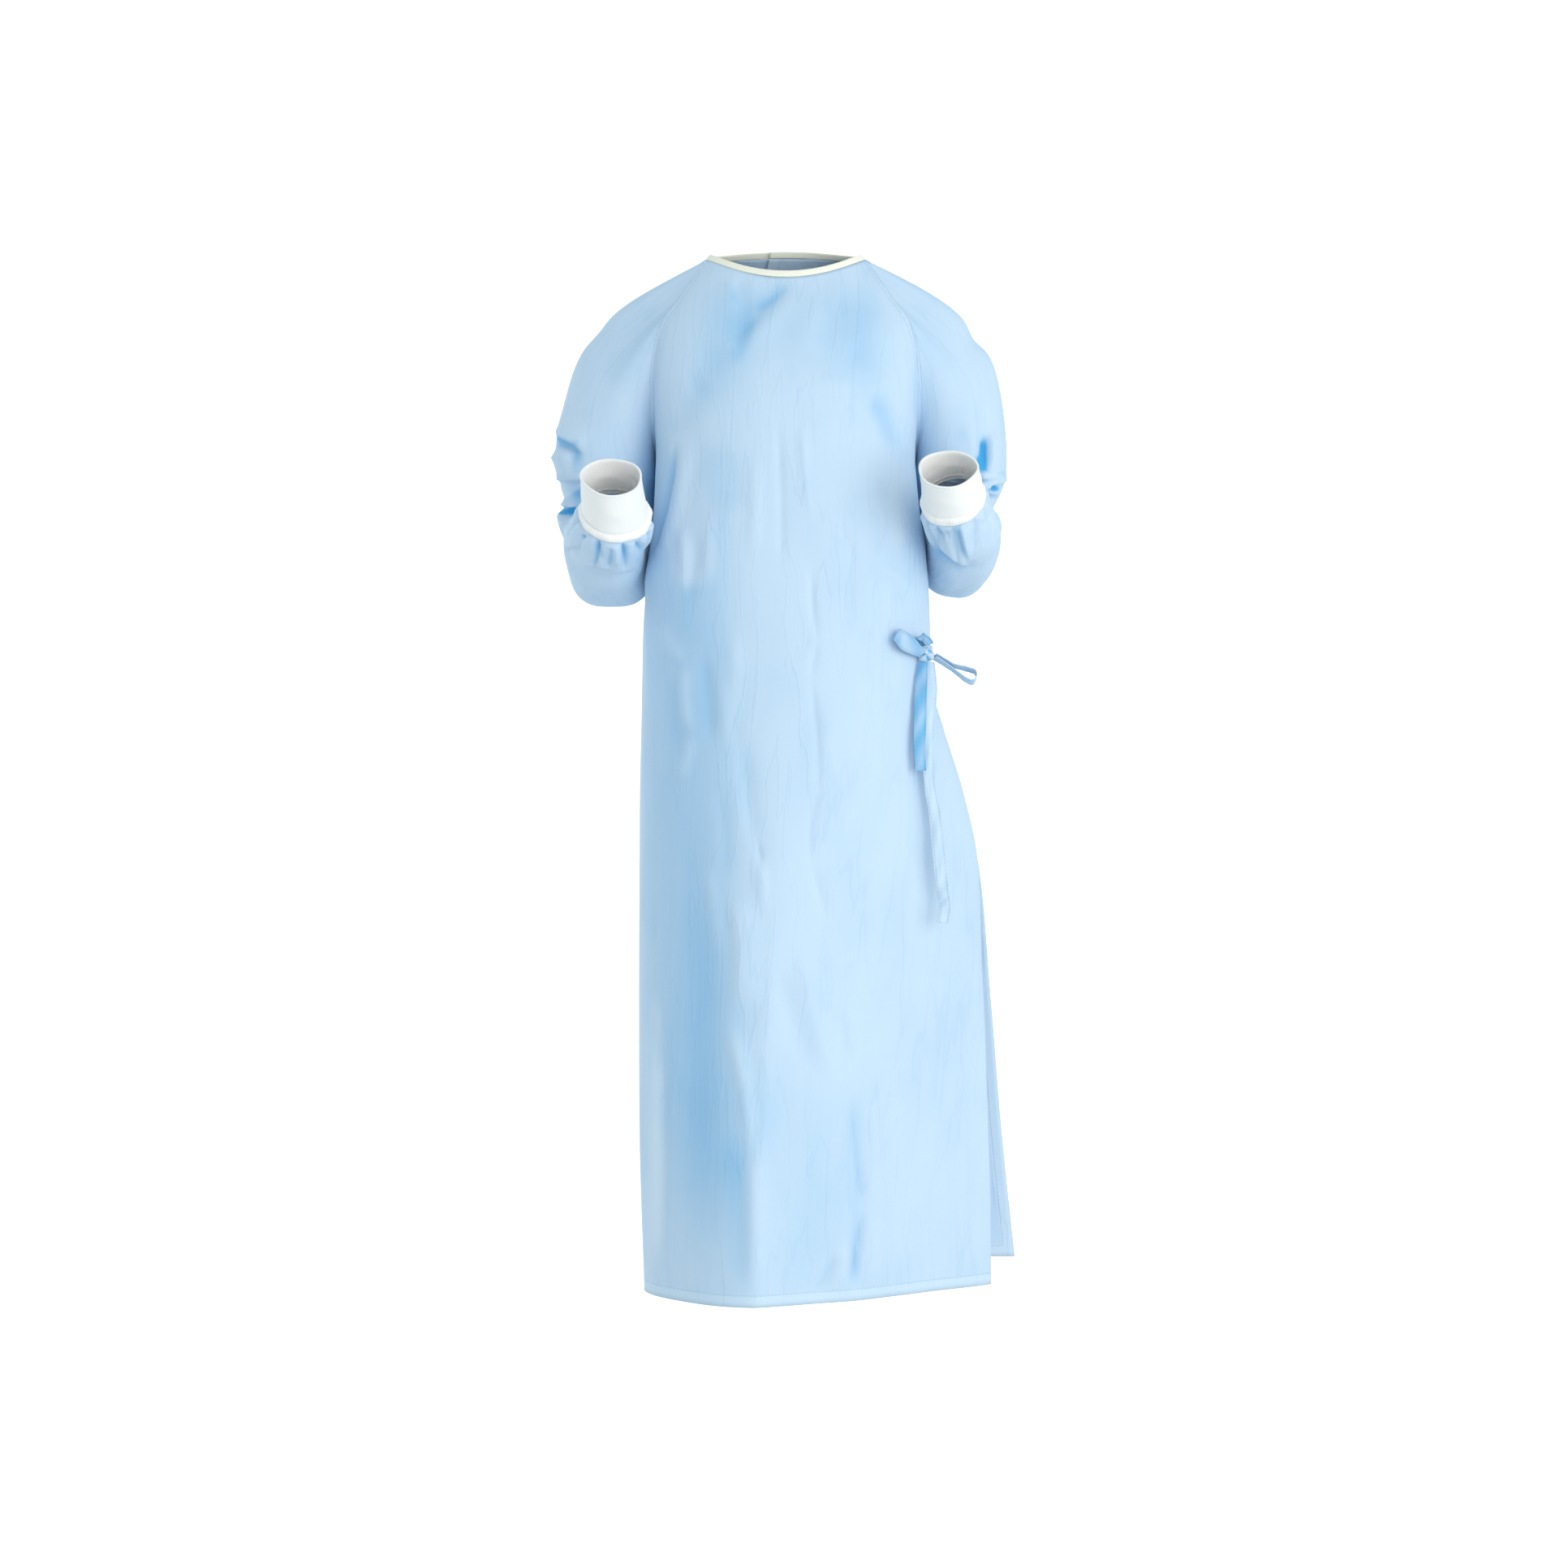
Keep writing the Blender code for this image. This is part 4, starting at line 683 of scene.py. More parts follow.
@dataclass(frozen=True)
class BodyForm:
    """The gown's body: oval sections under a yoke that rises to the neckline."""

    underarm: float = 0.235
    hem: float = 1.177
    lap: float = 0.0046
    clear: float = 4.0  # degrees before the under panel's edge at which the lap is full
    neck_half_width: float = 0.0925
    neck_front: float = 0.058
    neck_back: float = 0.062
    neck_front_drop: float = 0.026
    neck_back_rise: float = 0.010
    side_seam: float = 100.0
    front_raglan: float = 78.0
    back_raglan: float = 140.0

    def neck_point(self, angle: float) -> Vector:
        """Point of the neckline.

        Args:
            angle: angle round the neck in degrees.

        Returns:
            The point where cloth ends and binding begins.
        """
        turn = math.radians(wrapped(angle))
        ahead = math.cos(turn)
        depth = self.neck_front if ahead > 0 else self.neck_back
        rise = -self.neck_front_drop if ahead > 0 else self.neck_back_rise
        x = self.neck_half_width * math.sin(turn)
        return Vector((x, -depth * ahead, rise * ahead * ahead))

    def body_point(self, drop: float, angle: float) -> Vector:
        """Point of the body below the underarm.

        Args:
            drop: drop of the section.
            angle: angle round it in degrees.

        Returns:
            The point.
        """
        s = between(SECTIONS, drop)
        angle = wrapped(angle)
        side, side_y, roundness = s.left, s.left_y, s.left_front
        if angle < 0:
            side, side_y, roundness = -s.right, s.right_y, s.right_front
        turn = math.radians(abs(angle))
        if abs(angle) <= 90:
            x = s.apex + (side - s.apex) * max(math.sin(turn), 0.0) ** (2 / roundness)
            y = side_y - (s.front + side_y) * max(math.cos(turn), 0.0) ** (2 / roundness)
        else:
            x = side * max(math.sin(turn), 0.0) ** (2 / s.rear)
            y = side_y + (s.back - side_y) * abs(math.cos(turn)) ** (2 / s.rear)
        return Vector((x, y, -drop))

    @lru_cache(maxsize=None)
    def seam_point(self, kind: str, sign: int, at: float) -> Vector:
        """Point of a raglan seam.

        Args:
            kind: "front" or "back".
            sign: 1 on the wearer's left, -1 on the right.
            at: 0 at the neck to 1 at the underarm.

        Returns:
            The point.
        """
        angle, middle = self.front_raglan, FRONT_RAGLAN_POINTS
        if kind == "back":
            angle, middle = self.back_raglan, BACK_RAGLAN_POINTS
        rows = (
            Seam(0, *self.neck_point(sign * angle)),
            *(Seam(r.at, sign * r.x, r.y, r.z) for r in middle),
            Seam(1, *self.body_point(self.underarm, sign * self.side_seam)),
        )
        return Vector(between(rows, at)[1:])

    def drop_at(self, v: float) -> float:
        """Drop of a row: v is 0 at the neck, 1 at the underarm and 2 at the hem."""
        return mix(self.underarm, self.hem, v - 1) if v > 1 else self.underarm * v

    def straight(self, neck: float, side: float, v: float) -> Vector:
        """Point on the straight line from an angle of the neck to one at the underarm."""
        return self.neck_point(neck).lerp(self.body_point(self.underarm, side), v)

    def back_start(self, v: float) -> float:
        """Angle at which the back panels begin at v."""
        return mix(self.back_raglan, self.side_seam, min(v, 1.0))

    def front(self, w: float, v: float) -> Vector:
        """Front panel.

        Args:
            w: 0 at the wearer's right seam to 1 at the left one.
            v: 0 neck, 1 underarm, 2 hem.

        Returns:
            The point without folds.
        """
        u = 2 * w - 1
        if v >= 1:
            return self.body_point(self.drop_at(v), u * self.side_seam)
        sign = 1 if u >= 0 else -1
        base = self.straight(u * self.front_raglan, u * self.side_seam, v)
        edge = self.straight(sign * self.front_raglan, sign * self.side_seam, v)
        profile = between(FRONT_PROFILE, v)
        bulge = Vector((0.0, profile.y, profile.z)) - self.straight(0, 0, v)
        seam = self.seam_point("front", sign, v) - edge
        return base + bulge * (1 - u * u) + seam * u * u

    def back(self, sign: int, turn: float, v: float) -> Vector:
        """Back of the body.

        Args:
            sign: side that the angle is counted on.
            turn: angle past that side, counted on from 180 on the other side.
            v: 0 neck, 1 underarm, 2 hem.

        Returns:
            The point without lap or folds.
        """
        if turn > 180:
            sign, turn = -sign, 360.0 - turn
        if v >= 1:
            return self.body_point(self.drop_at(v), sign * turn)
        start = self.back_start(v)
        share = (turn - start) / (180.0 - start)
        top, low = mix(self.back_raglan, 180.0, share), mix(self.side_seam, 180.0, share)
        base = self.straight(sign * top, sign * low, v)
        edge = self.straight(sign * self.back_raglan, sign * self.side_seam, v)
        profile = between(BACK_PROFILE, v)
        near = (1 - share) ** 2
        bulge = Vector((0.0, profile.y, profile.z)) - self.straight(180, 180, v)
        seam = self.seam_point("back", sign, v) - edge
        return base + seam * near + bulge * (1 - near)

    def edge_at(self, v: float) -> Edge:
        """Row of the back panels' edges at v."""
        return between(EDGES, self.drop_at(v))

    def over_lap(self, turn: float, v: float) -> float:
        """How far the over panel lies off the body, to clear the under one, turn past the right side."""
        start = self.back_start(v)
        return self.lap * soft_step((turn - start) / (360.0 - self.clear - self.edge_at(v).under - start))

    def under(self, w: float, v: float) -> Vector:
        """Under back panel without folds: w is 0 at its seam, 1 at its free edge."""
        start = self.back_start(v)
        return self.back(1, mix(start, self.edge_at(v).under, w), v)

    def over(self, w: float, v: float) -> Vector:
        """Over back panel, whose free edge flares below the waist.

        Args:
            w: 0 at its seam to 1 at its free edge.
            v: 0 neck, 1 underarm, 2 hem.

        Returns:
            The point without folds.
        """
        edge = self.edge_at(v)
        start = self.back_start(v)
        turn = mix(start, edge.over, w)
        base = self.back(-1, turn, v)
        away = Vector((base.x, base.y, 0.0)).normalized()
        past = min(max((turn - 180.0) / (edge.over - 180.0), 0.0), 1.0) ** 1.6
        flare = Vector((edge.flare_x, edge.flare_y, 0.0)) * past
        return base + away * self.over_lap(turn, v) + flare


@dataclass(frozen=True)
class ArmForm:
    """One sleeve's form, from the raglan seam over the shoulder and round the elbow."""

    side: str
    body: BodyForm = BodyForm()
    neck_points: int = 4
    yoke_points: int = 20
    least: float = 0.03

    @property
    def sign(self) -> int:
        """1 on the wearer's left, -1 on the right."""
        return 1 if self.side == "left" else -1

    @property
    def rings(self) -> tuple:
        """Arm sections of this side."""
        return LEFT_RINGS if self.side == "left" else RIGHT_RINGS

    @lru_cache(maxsize=None)
    def start_point(self, around: float) -> Vector:
        """Point of the upper edge: neck, front seam, underarm, back seam, neck.

        Args:
            around: angle round the sleeve in degrees.

        Returns:
            The point.
        """
        body, neck, yoke = self.body, self.neck_points, self.yoke_points
        k = (around / 360.0) % 1.0 * 2 * (neck + yoke)
        middle = (body.front_raglan + body.back_raglan) / 2
        if k <= neck:
            return body.neck_point(self.sign * mix(middle, body.front_raglan, k / neck))
        if k <= neck + yoke:
            return body.seam_point("front", self.sign, (k - neck) / yoke)
        if k <= neck + 2 * yoke:
            return body.seam_point("back", self.sign, 2 - (k - neck) / yoke)
        share = (k - neck - 2 * yoke) / neck
        return body.neck_point(self.sign * mix(body.back_raglan, middle, share))

    def axes(self, pitch: float, roll: float) -> tuple[Vector, Vector, Vector]:
        """Directions of an arm section.

        Args:
            pitch: turn of the arm from straight down through forward, in degrees.
            roll: lift of its outer side, in degrees.

        Returns:
            Its outer and front directions and the arm's own.
        """
        turn = math.radians(pitch)
        lifted = Matrix.Rotation(-self.sign * math.radians(roll), 3, "Y")
        outer = lifted @ Vector((self.sign, 0, 0))
        front = lifted @ Vector((0, -math.cos(turn), math.sin(turn)))
        return outer, front, lifted @ Vector((0, -math.sin(turn), -math.cos(turn)))

    def ring_point(self, ring: Ring, around: float) -> Vector:
        """Point of an arm section.

        Args:
            ring: the section.
            around: angle round it in degrees.

        Returns:
            The point.
        """
        turn = math.radians(around)
        c, s = math.cos(turn), math.sin(turn)
        outer, front, _ = self.axes(ring.pitch, ring.roll)
        side = ring.out if c > 0 else ring.inn
        face = ring.front if s > 0 else ring.back
        power = 2 / (ring.boxy if c < 0 and s < 0 else ring.round)
        middle = Vector((self.sign * ring.x, ring.y, ring.z))
        across = outer * side * math.copysign(abs(c) ** power, c)
        return middle + across + front * face * math.copysign(abs(s) ** power, s)

    def point(self, around: float, at: float) -> Vector:
        """Point of the sleeve without folds.

        Args:
            around: angle round the sleeve in degrees.
            at: 0 at the raglan seam through 1 to 10 at the rings.

        Returns:
            The point.
        """
        if at >= 1:
            return self.ring_point(between(self.rings, at), around)
        shoulder = SHOULDERS[self.side]
        turn = math.radians(around)
        share = ((1 + math.cos(turn)) / 2) ** 1.5
        drop = shoulder.fall * (1 + math.cos(turn)) / 2 + 30 * math.sin(turn) ** 2
        fall = math.radians(drop)
        out = self.least + shoulder.leave * share
        leave = Vector((self.sign * math.cos(fall), 0, -math.sin(fall))) * out
        arrive = Vector((0, 0, -(self.least + shoulder.arrive * share)))
        a, b = self.start_point(around), self.ring_point(self.rings[0], around)
        return Vector([cubic(a[i], b[i], leave[i], arrive[i], at) for i in range(3)])


@dataclass(frozen=True)
class Sight:
    """Where points appear on the upright plane through the origin, seen from the camera."""

    x: float = 0.0
    z: float = -0.54
    distance: float = 4.26

    def front(self, points: Array) -> tuple[Array, Array]:
        """Places seen from the camera.

        Args:
            points: grid of points.

        Returns:
            Their x and z on the plane, in mm.
        """
        share = self.distance / (self.distance + points[..., 1])
        x = self.x + (points[..., 0] - self.x) * share
        z = self.z + (points[..., 2] - self.z) * share
        return x / MM, z / MM

    @staticmethod
    def back(points: Array) -> tuple[Array, Array]:
        """Their x and z in mm seen straight from behind, x still towards the wearer's left."""
        return points[..., 0] / MM, points[..., 2] / MM


@dataclass(frozen=True)
class CreaseField:
    """A set of listed creases and what they add to a cloth's height."""

    creases: tuple
    pieces: int = 12
    beyond: float = 3.2  # reaches past which a crease is left out
    taper: float = 3.2  # how soon a crease rises from its ends
    blunt: float = 0.12  # what is left of that rise at the ends
    lip_step: float = 1.8  # mm across which a lip falls in

    def line(self, crease: Crease) -> Array:
        """Bowed line of a crease.

        Args:
            crease: the crease.

        Returns:
            Its points in mm, in order.
        """
        t = np.linspace(0.0, 1.0, self.pieces + 1)[:, None]
        start, end = np.array([crease.x0, crease.z0]), np.array([crease.x1, crease.z1])
        run = end - start
        side = np.array([-run[1], run[0]]) / np.hypot(*run)
        return start + run * t + side * crease.bow * 4 * t * (1 - t)

    def heights(self, x: Array, z: Array, tone: bool = False) -> Array:
        """Height of all the creases, or their painted shade.

        Args:
            x: places seen, in mm.
            z: places seen, in mm.
            tone: whether the painted shade is wanted instead of the height.

        Returns:
            Heights in metres, or shares of painted shade, negative for painted light.
        """
        total = np.zeros_like(x)
        for crease in self.creases:
            if (crease.form is Form.TONE) is not tone:
                continue
            points = self.line(crease)
            far = self.beyond * max(crease.left, crease.right)
            low, high = points.min(axis=0) - far, points.max(axis=0) + far
            near = (x > low[0]) & (x < high[0]) & (z > low[1]) & (z < high[1])
            if near.any():
                total[near] += self.one(crease, points, x[near], z[near])
        return total if tone else total * MM

    def one(self, crease: Crease, line: Array, x: Array, z: Array) -> Array:
        """Height of one crease.

        Args:
            crease: the crease.
            line: its points.
            x: places near it, in mm.
            z: places near it, in mm.

        Returns:
            Heights in mm.
        """
        best = np.full(x.shape, np.inf)
        signed = np.zeros(x.shape)
        along = np.zeros(x.shape)
        for k in range(self.pieces):
            a, run = line[k], line[k + 1] - line[k]
            t = ((x - a[0]) * run[0] + (z - a[1]) * run[1]) / (run @ run)
            held = np.clip(t, 0.0, 1.0)
            away = np.hypot(x - a[0] - held * run[0], z - a[1] - held * run[1])
            side = np.sign(run[0] * (z - a[1]) - run[1] * (x - a[0]))
            closer = away < best
            best = np.where(closer, away, best)
            signed = np.where(closer, side * away, signed)
            along = np.where(closer, (k + held) / self.pieces, along)
        reach = np.where(signed > 0, crease.left, crease.right)
        start, end = (soft_step(part * self.taper + self.blunt) for part in (along, 1 - along))
        height = crease.height * (start * end)
        if crease.form is Form.LIP:
            return height * (np.tanh(signed / self.lip_step) * np.exp(-np.abs(signed) / reach))
        if crease.form is Form.SHARP:
            return height * np.exp(-np.sqrt((signed / reach) ** 2 + 0.06) * 1.5 + 0.37)
        return height * bell(signed, reach)


def sweep_heights(sweeps: tuple, points: Array) -> Array:
    """Height of the body's largest folds.

    Args:
        sweeps: the folds.
        points: grid of points.

    Returns:
        Heights in metres.
    """
    total = np.zeros(points.shape[:2])
    x, drop = points[..., 0], -points[..., 2]
    for s in sweeps:
        run_x, run_z = s.x1 - s.x0, s.drop1 - s.drop0
        along = ((x - s.x0) * run_x + (drop - s.drop0) * run_z) / (run_x**2 + run_z**2)
        along = np.clip(along, 0.0, 1.0)
        away = np.hypot(x - s.x0 - along * run_x, drop - s.drop0 - along * run_z)
        total += s.height * bell(away, s.width) * soft_step(along * 4 + 0.2)
    return total


def fold_heights(folds: tuple, around: Array, at: Array) -> Array:
    """Height of a sleeve's folds.

    Args:
        folds: the folds.
        around: angles round the arm in degrees.
        at: places along the arm.

    Returns:
        Heights in metres.
    """
    total = np.zeros(np.broadcast(around, at).shape)
    for f in folds:
        away = wrapped(around - f.around)
        along = at - f.at - f.slant * away
        reach = (along / f.reach_at) ** 2 + (away / f.reach_around) ** 2
        total += f.height * np.exp(-reach)
    return total


def seam_heights(away: Array) -> Array:
    """Height of a welded seam's ridge at each distance from it."""
    return bell(away, SEAM_REACH) * SEAM_HEIGHT


def smoothed(grid: Array, times: int, tube: bool) -> Array:
    """Grid of values with its small steps taken out.

    Args:
        grid: rows of columns of values.
        times: how often each value is averaged with its neighbours.
        tube: True where the last column lies on the first.

    Returns:
        The smoothed grid.
    """
    for _ in range(times):
        up = np.concatenate([grid[:1], grid, grid[-1:]])
        grid = (up[:-2] + 2 * up[1:-1] + up[2:]) / 4
        if tube:
            left, right = grid[:, -2:-1], grid[:, 1:2]
        else:
            left, right = grid[:, :1], grid[:, -1:]
        wide = np.concatenate([left, grid, right], axis=1)
        grid = (wide[:, :-2] + 2 * wide[:, 1:-1] + wide[:, 2:]) / 4
    return grid


def unit(vectors: Array) -> Array:
    """Grid of vectors brought to length 1."""
    return vectors / np.maximum(np.linalg.norm(vectors, axis=2, keepdims=True), TINY**2)


def grid_normals(points: Array, tube: bool) -> Array:
    """Directions across a grid of points, one way round all over.

    Args:
        points: rows of columns of points.
        tube: True where the last column lies on the first.

    Returns:
        Unit directions: down the rows crossed with along the columns.
    """
    down = np.gradient(points, axis=0)
    across = np.gradient(points, axis=1)
    if tube:
        across[:, 0] = across[:, -1] = (points[:, 1] - points[:, -2]) / 2
    return unit(np.cross(down, across))


def paired(a: Array, b: Array) -> Array:
    """Two grids of values as one grid of pairs."""
    return np.stack([a, b], axis=2)


def run_lengths(points: Array, axis: int) -> Array:
    """Length along a grid's rows or columns, from its first point.

    Args:
        points: rows of columns of points.
        axis: 0 down the rows, 1 along the columns.

    Returns:
        Lengths in metres.
    """
    steps = np.linalg.norm(np.diff(points, axis=axis), axis=2)
    start = np.zeros_like(steps[:1] if axis == 0 else steps[:, :1])
    return np.concatenate([start, np.cumsum(steps, axis=axis)], axis=axis)


def as_object(bm: bmesh.types.BMesh, name: str) -> Object:
    """Turn a mesh under construction into a smooth object of the scene.

    Args:
        bm: the mesh, which is freed.
        name: the object's name.

    Returns:
        The object.
    """
    mesh = bpy.data.meshes.new(name)
    bm.to_mesh(mesh)
    bm.free()
    mesh.shade_smooth()
    piece = bpy.data.objects.new(name, mesh)
    bpy.context.scene.collection.objects.link(piece)
    return piece


@dataclass
class ClothMesh:
    """A cloth as a grid of points, with the values that its finish reads."""

    name: str
    points: Array
    outward: Array
    cloth: Array
    edges: Array
    # share of painted shade in the deep colour, negative for painted light in the pale one
    fold: Array
    tube: bool = False
    thickness: float = 0.001
    capped: bool = False

    def build(self) -> Object:
        """Make the shell.

        Returns:
            The object, with thickness inwards.
        """
        rows, columns = self.points.shape[0] - 1, self.points.shape[1] - 1
        bm = bmesh.new()
        bmesh.ops.create_grid(bm, x_segments=columns, y_segments=rows, size=0.5)
        layers = [bm.loops.layers.uv.new("cloth"), bm.loops.layers.uv.new("edges")]
        fold = bm.verts.layers.float.new("fold")
        bm.verts.index_update()
        spots = []
        for vert in bm.verts:
            i, j = round((vert.co.y + 0.5) * rows), round((vert.co.x + 0.5) * columns)
            spots.append((i, j))
            vert.co = self.points[i, j]
            vert[fold] = self.fold[i, j]
        for face in bm.faces:
            for loop in face.loops:
                spot = spots[loop.vert.index]
                loop[layers[0]].uv = self.cloth[spot]
                loop[layers[1]].uv = self.edges[spot]
        if self.tube:
            bmesh.ops.remove_doubles(bm, verts=bm.verts[:], dist=TINY)
        if self.capped:
            rims = [edge for edge in bm.edges if edge.is_boundary]
            bmesh.ops.holes_fill(bm, edges=rims, sides=0)
        bmesh.ops.recalc_face_normals(bm, faces=bm.faces[:])
        bm.normal_update()
        middle = self.points[rows // 2, columns // 2]
        nearest = min(bm.faces, key=lambda f: (f.calc_center_median() - Vector(middle)).length)
        if nearest.normal.dot(Vector(self.outward[rows // 2, columns // 2])) < 0:
            bmesh.ops.reverse_faces(bm, faces=bm.faces[:])
        piece = as_object(bm, f"{self.name}_cloth")
        if not self.capped:
            wall = piece.modifiers.new("thickness", "SOLIDIFY")
            wall.thickness = self.thickness
            wall.offset = -1.0
        faces = piece.data.polygons
        LOG.info("%s: %d faces, %.4f m2", self.name, len(faces), sum(f.area for f in faces))
        return piece


def dress(piece: Object, node: str, material: Material) -> Object:
    """Give a piece its finish and its place in the frame.

    Args:
        piece: the shell.
        node: the solid that it stands for.
        material: its finish.

    Returns:
        The same piece.
    """
    piece.data.materials.append(material)
    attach(piece, "root")
    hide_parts(node)
    return piece


class Recipe:
    """A material under construction, with short ways to add its nodes."""

    def __init__(self, name: str) -> None:
        """Start a material.

        Args:
            name: its name.
        """
        self.material = bpy.data.materials.new(name)
        self.material.use_nodes = True
        self.tree = self.material.node_tree
        self.shader = self.tree.nodes["Principled BSDF"]

    def node(self, kind: str, inputs: dict, output: int = 0, **settings: Any) -> Any:
        """Add a node.

        Args:
            kind: its type.
            inputs: values or sockets for its inputs.
            output: number of the output that is wanted.
            **settings: its own settings.

        Returns:
            The output socket.
        """
        made = self.tree.nodes.new(kind)
        for key, value in settings.items():
            setattr(made, key, value)
        for key, value in inputs.items():
            self.put(made.inputs[key], value)
        return made.outputs[output]

    def put(self, socket: Any, value: Any) -> None:
        """Set or link an input.

        Args:
            socket: the input.
            value: a plain value, or the socket that feeds it.
        """
        if isinstance(value, bpy.types.NodeSocket):
            self.tree.links.new(value, socket)
        else:
            socket.default_value = value

    def math(self, operation: str, a: Any, b: Any = 0.0) -> Any:
        """Socket of a sum of two values or sockets."""
        return self.node("ShaderNodeMath", {0: a, 1: b}, operation=operation)

    def times(self, a: Any, b: Any) -> Any:
        """Socket of the product of two values or sockets."""
        return self.math("MULTIPLY", a, b)

    def apart(self, a: Any, b: Any) -> Any:
        """Socket of the distance between two values."""
        return self.math("ABSOLUTE", self.math("SUBTRACT", a, b))

    def wave(self, value: Any, pitch: float) -> Any:
        """Socket of a sine with this pitch in metres."""
        return self.math("SINE", self.times(value, math.tau / pitch))

    def spread(self, value: Any, low: float, high: float, to_low: float, to_high: float) -> Any:
        """Socket of a value brought smoothly from the range low..high to to_low..to_high."""
        inputs = {"Value": value, 1: low, 2: high, 3: to_low, 4: to_high}
        return self.node("ShaderNodeMapRange", inputs, interpolation_type="SMOOTHSTEP")

    def blend(self, share: Any, a: Any, b: Any) -> Any:
        """Socket of the colour a, mixed with a share of the colour b."""
        return self.node("ShaderNodeMix", {0: share, 6: a, 7: b}, output=2, data_type="RGBA")

    def noise(self, vector: Any, stretch: tuple, detail: float = 2.0) -> Any:
        """Socket of cloudy noise, with stretch as its cells a metre along both ways of the cloth."""
        scaled = self.node("ShaderNodeVectorMath", {0: vector, 1: (*stretch, 1.0)}, operation="MULTIPLY")
        return self.node("ShaderNodeTexNoise", {"Vector": scaled, "Scale": 1.0, "Detail": detail})

    def bump(self, height: Any, distance: float, strength: float, below: Any = None) -> Any:
        """Raise a height as a bump.

        Args:
            height: the height's socket, from 0 to 1.
            distance: how high 1 stands, in metres.
            strength: how much of it shows.
            below: the bump that it lies on.

        Returns:
            The normal's socket.
        """
        inputs = {"Strength": strength, "Distance": distance, "Height": height}
        if below is not None:
            inputs["Normal"] = below
        return self.node("ShaderNodeBump", inputs)

    def uv(self, name: str) -> Any:
        """Socket of one of the cloth's own maps."""
        return self.node("ShaderNodeUVMap", {}, uv_map=name)

    def split(self, vector: Any) -> tuple[Any, Any]:
        """Take a vector apart.

        Args:
            vector: its socket.

        Returns:
            Sockets of its x and y.
        """
        made = self.tree.nodes.new("ShaderNodeSeparateXYZ")
        self.put(made.inputs[0], vector)
        return made.outputs[0], made.outputs[1]

    def finish(self, values: dict) -> Material:
        """Set the shader's own inputs.

        Args:
            values: values or sockets by the input's name.

        Returns:
            The finished material.
        """
        for key, value in values.items():
            self.put(self.shader.inputs[key], value)
        return self.material


@dataclass(frozen=True)
class Nonwoven:
    """Light blue nonwoven: point-bonded fibres, pressed seams, a doubled hem, and painted shade and light
    from the fold attribute.
    """

    name: str = "nonwoven_blue"
    colour: tuple = (0.552, 0.692, 0.842, 1.0)
    # deep: for painted shade from the fold attribute and along crinkles, and for the mottling and the
    # stitches
    deep: tuple = (0.030, 0.360, 0.700, 1.0)
    # pale: for painted light from the fold attribute, and for the streaks and the doubled hem
    pale: tuple = (0.650, 0.770, 0.880, 1.0)
    hem_width: float = 0.0145
    seam_width: float = 0.0045
    bond_pitch: float = 0.0016
    stitch: float = 0.0042
    roughness: float = 0.72

    def make(self) -> Material:
        """Build the material.

        Returns:
            The material.
        """
        r = Recipe(self.name)
        cloth, edges = r.uv("cloth"), r.uv("edges")
        across, down = r.split(cloth)
        to_seam, to_hem = r.split(edges)
        fold = r.node("ShaderNodeAttribute", {}, output=2, attribute_name="fold")
        streaks = r.noise(cloth, (520.0, 9.0), 3.0)
        clouds = r.noise(cloth, (14.0, 7.0), 3.0)
        fibres = r.noise(cloth, (1400.0, 420.0), 2.0)
        veins = r.apart(r.noise(cloth, (30.0, 5.0), 3.0), 0.5)
        crinkle = r.spread(veins, 0.0, 0.030, 1.0, 0.0)
        crinkle = r.times(crinkle, r.spread(clouds, 0.40, 0.62, 0.45, 1.0))
        wide = r.wave(across, self.bond_pitch)
        tall = r.wave(down, self.bond_pitch)
        dots = r.spread(r.times(wide, tall), 0.35, 0.9, 1.0, 0.0)
        hem = r.spread(to_hem, self.hem_width - 0.0008, self.hem_width, 1.0, 0.0)
        hem_line = r.apart(to_hem, self.hem_width - 0.0015)
        seam_line = r.apart(to_seam, self.seam_width)
        line = r.math("MINIMUM", hem_line, seam_line)
        sewn = r.spread(line, 0.0004, 0.0010, 1.0, 0.0)
        beat = r.wave(r.math("ADD", across, down), self.stitch)
        stitches = r.times(sewn, r.spread(beat, -0.55, -0.2, 0.0, 1.0))
        # The fold attribute paints shade in the deep colour and, where negative, light in the pale one.
        base = r.blend(r.spread(fold, 0.04, 1.0, 0.0, 1.0), self.colour, self.deep)
        base = r.blend(r.spread(fold, -0.8, -0.04, 0.8, 0.0), base, self.pale)
        base = r.blend(r.spread(streaks, 0.35, 0.7, 0.0, 0.10), base, self.pale)
        base = r.blend(r.spread(clouds, 0.35, 0.75, 0.0, 0.09), base, self.deep)
        # Painted shade along the crinkle lines.
        base = r.blend(r.times(crinkle, 0.05), base, self.deep)
        base = r.blend(r.times(hem, 0.42), base, self.pale)
        base = r.blend(r.times(stitches, 0.22), base, self.deep)
        rough = r.spread(streaks, 0.3, 0.7, self.roughness - 0.06, self.roughness + 0.06)
        low = r.bump(r.times(r.math("ADD", dots, fibres), 0.5), 0.00012, 0.55)
        mid = r.bump(clouds, 0.0016, 0.30, low)
        mid = r.bump(crinkle, 0.0009, 0.35, mid)
        high = r.bump(r.math("SUBTRACT", 1.0, sewn), 0.0005, 0.60, mid)
        return r.finish({
            "Base Color": base,
            "Roughness": rough,
            "Normal": high,
            "Specular IOR Level": 0.20,
            "Sheen Weight": 0.08,
            "Sheen Roughness": 0.45,
            "Sheen Tint": (0.60, 0.82, 1.0, 1.0),
        })


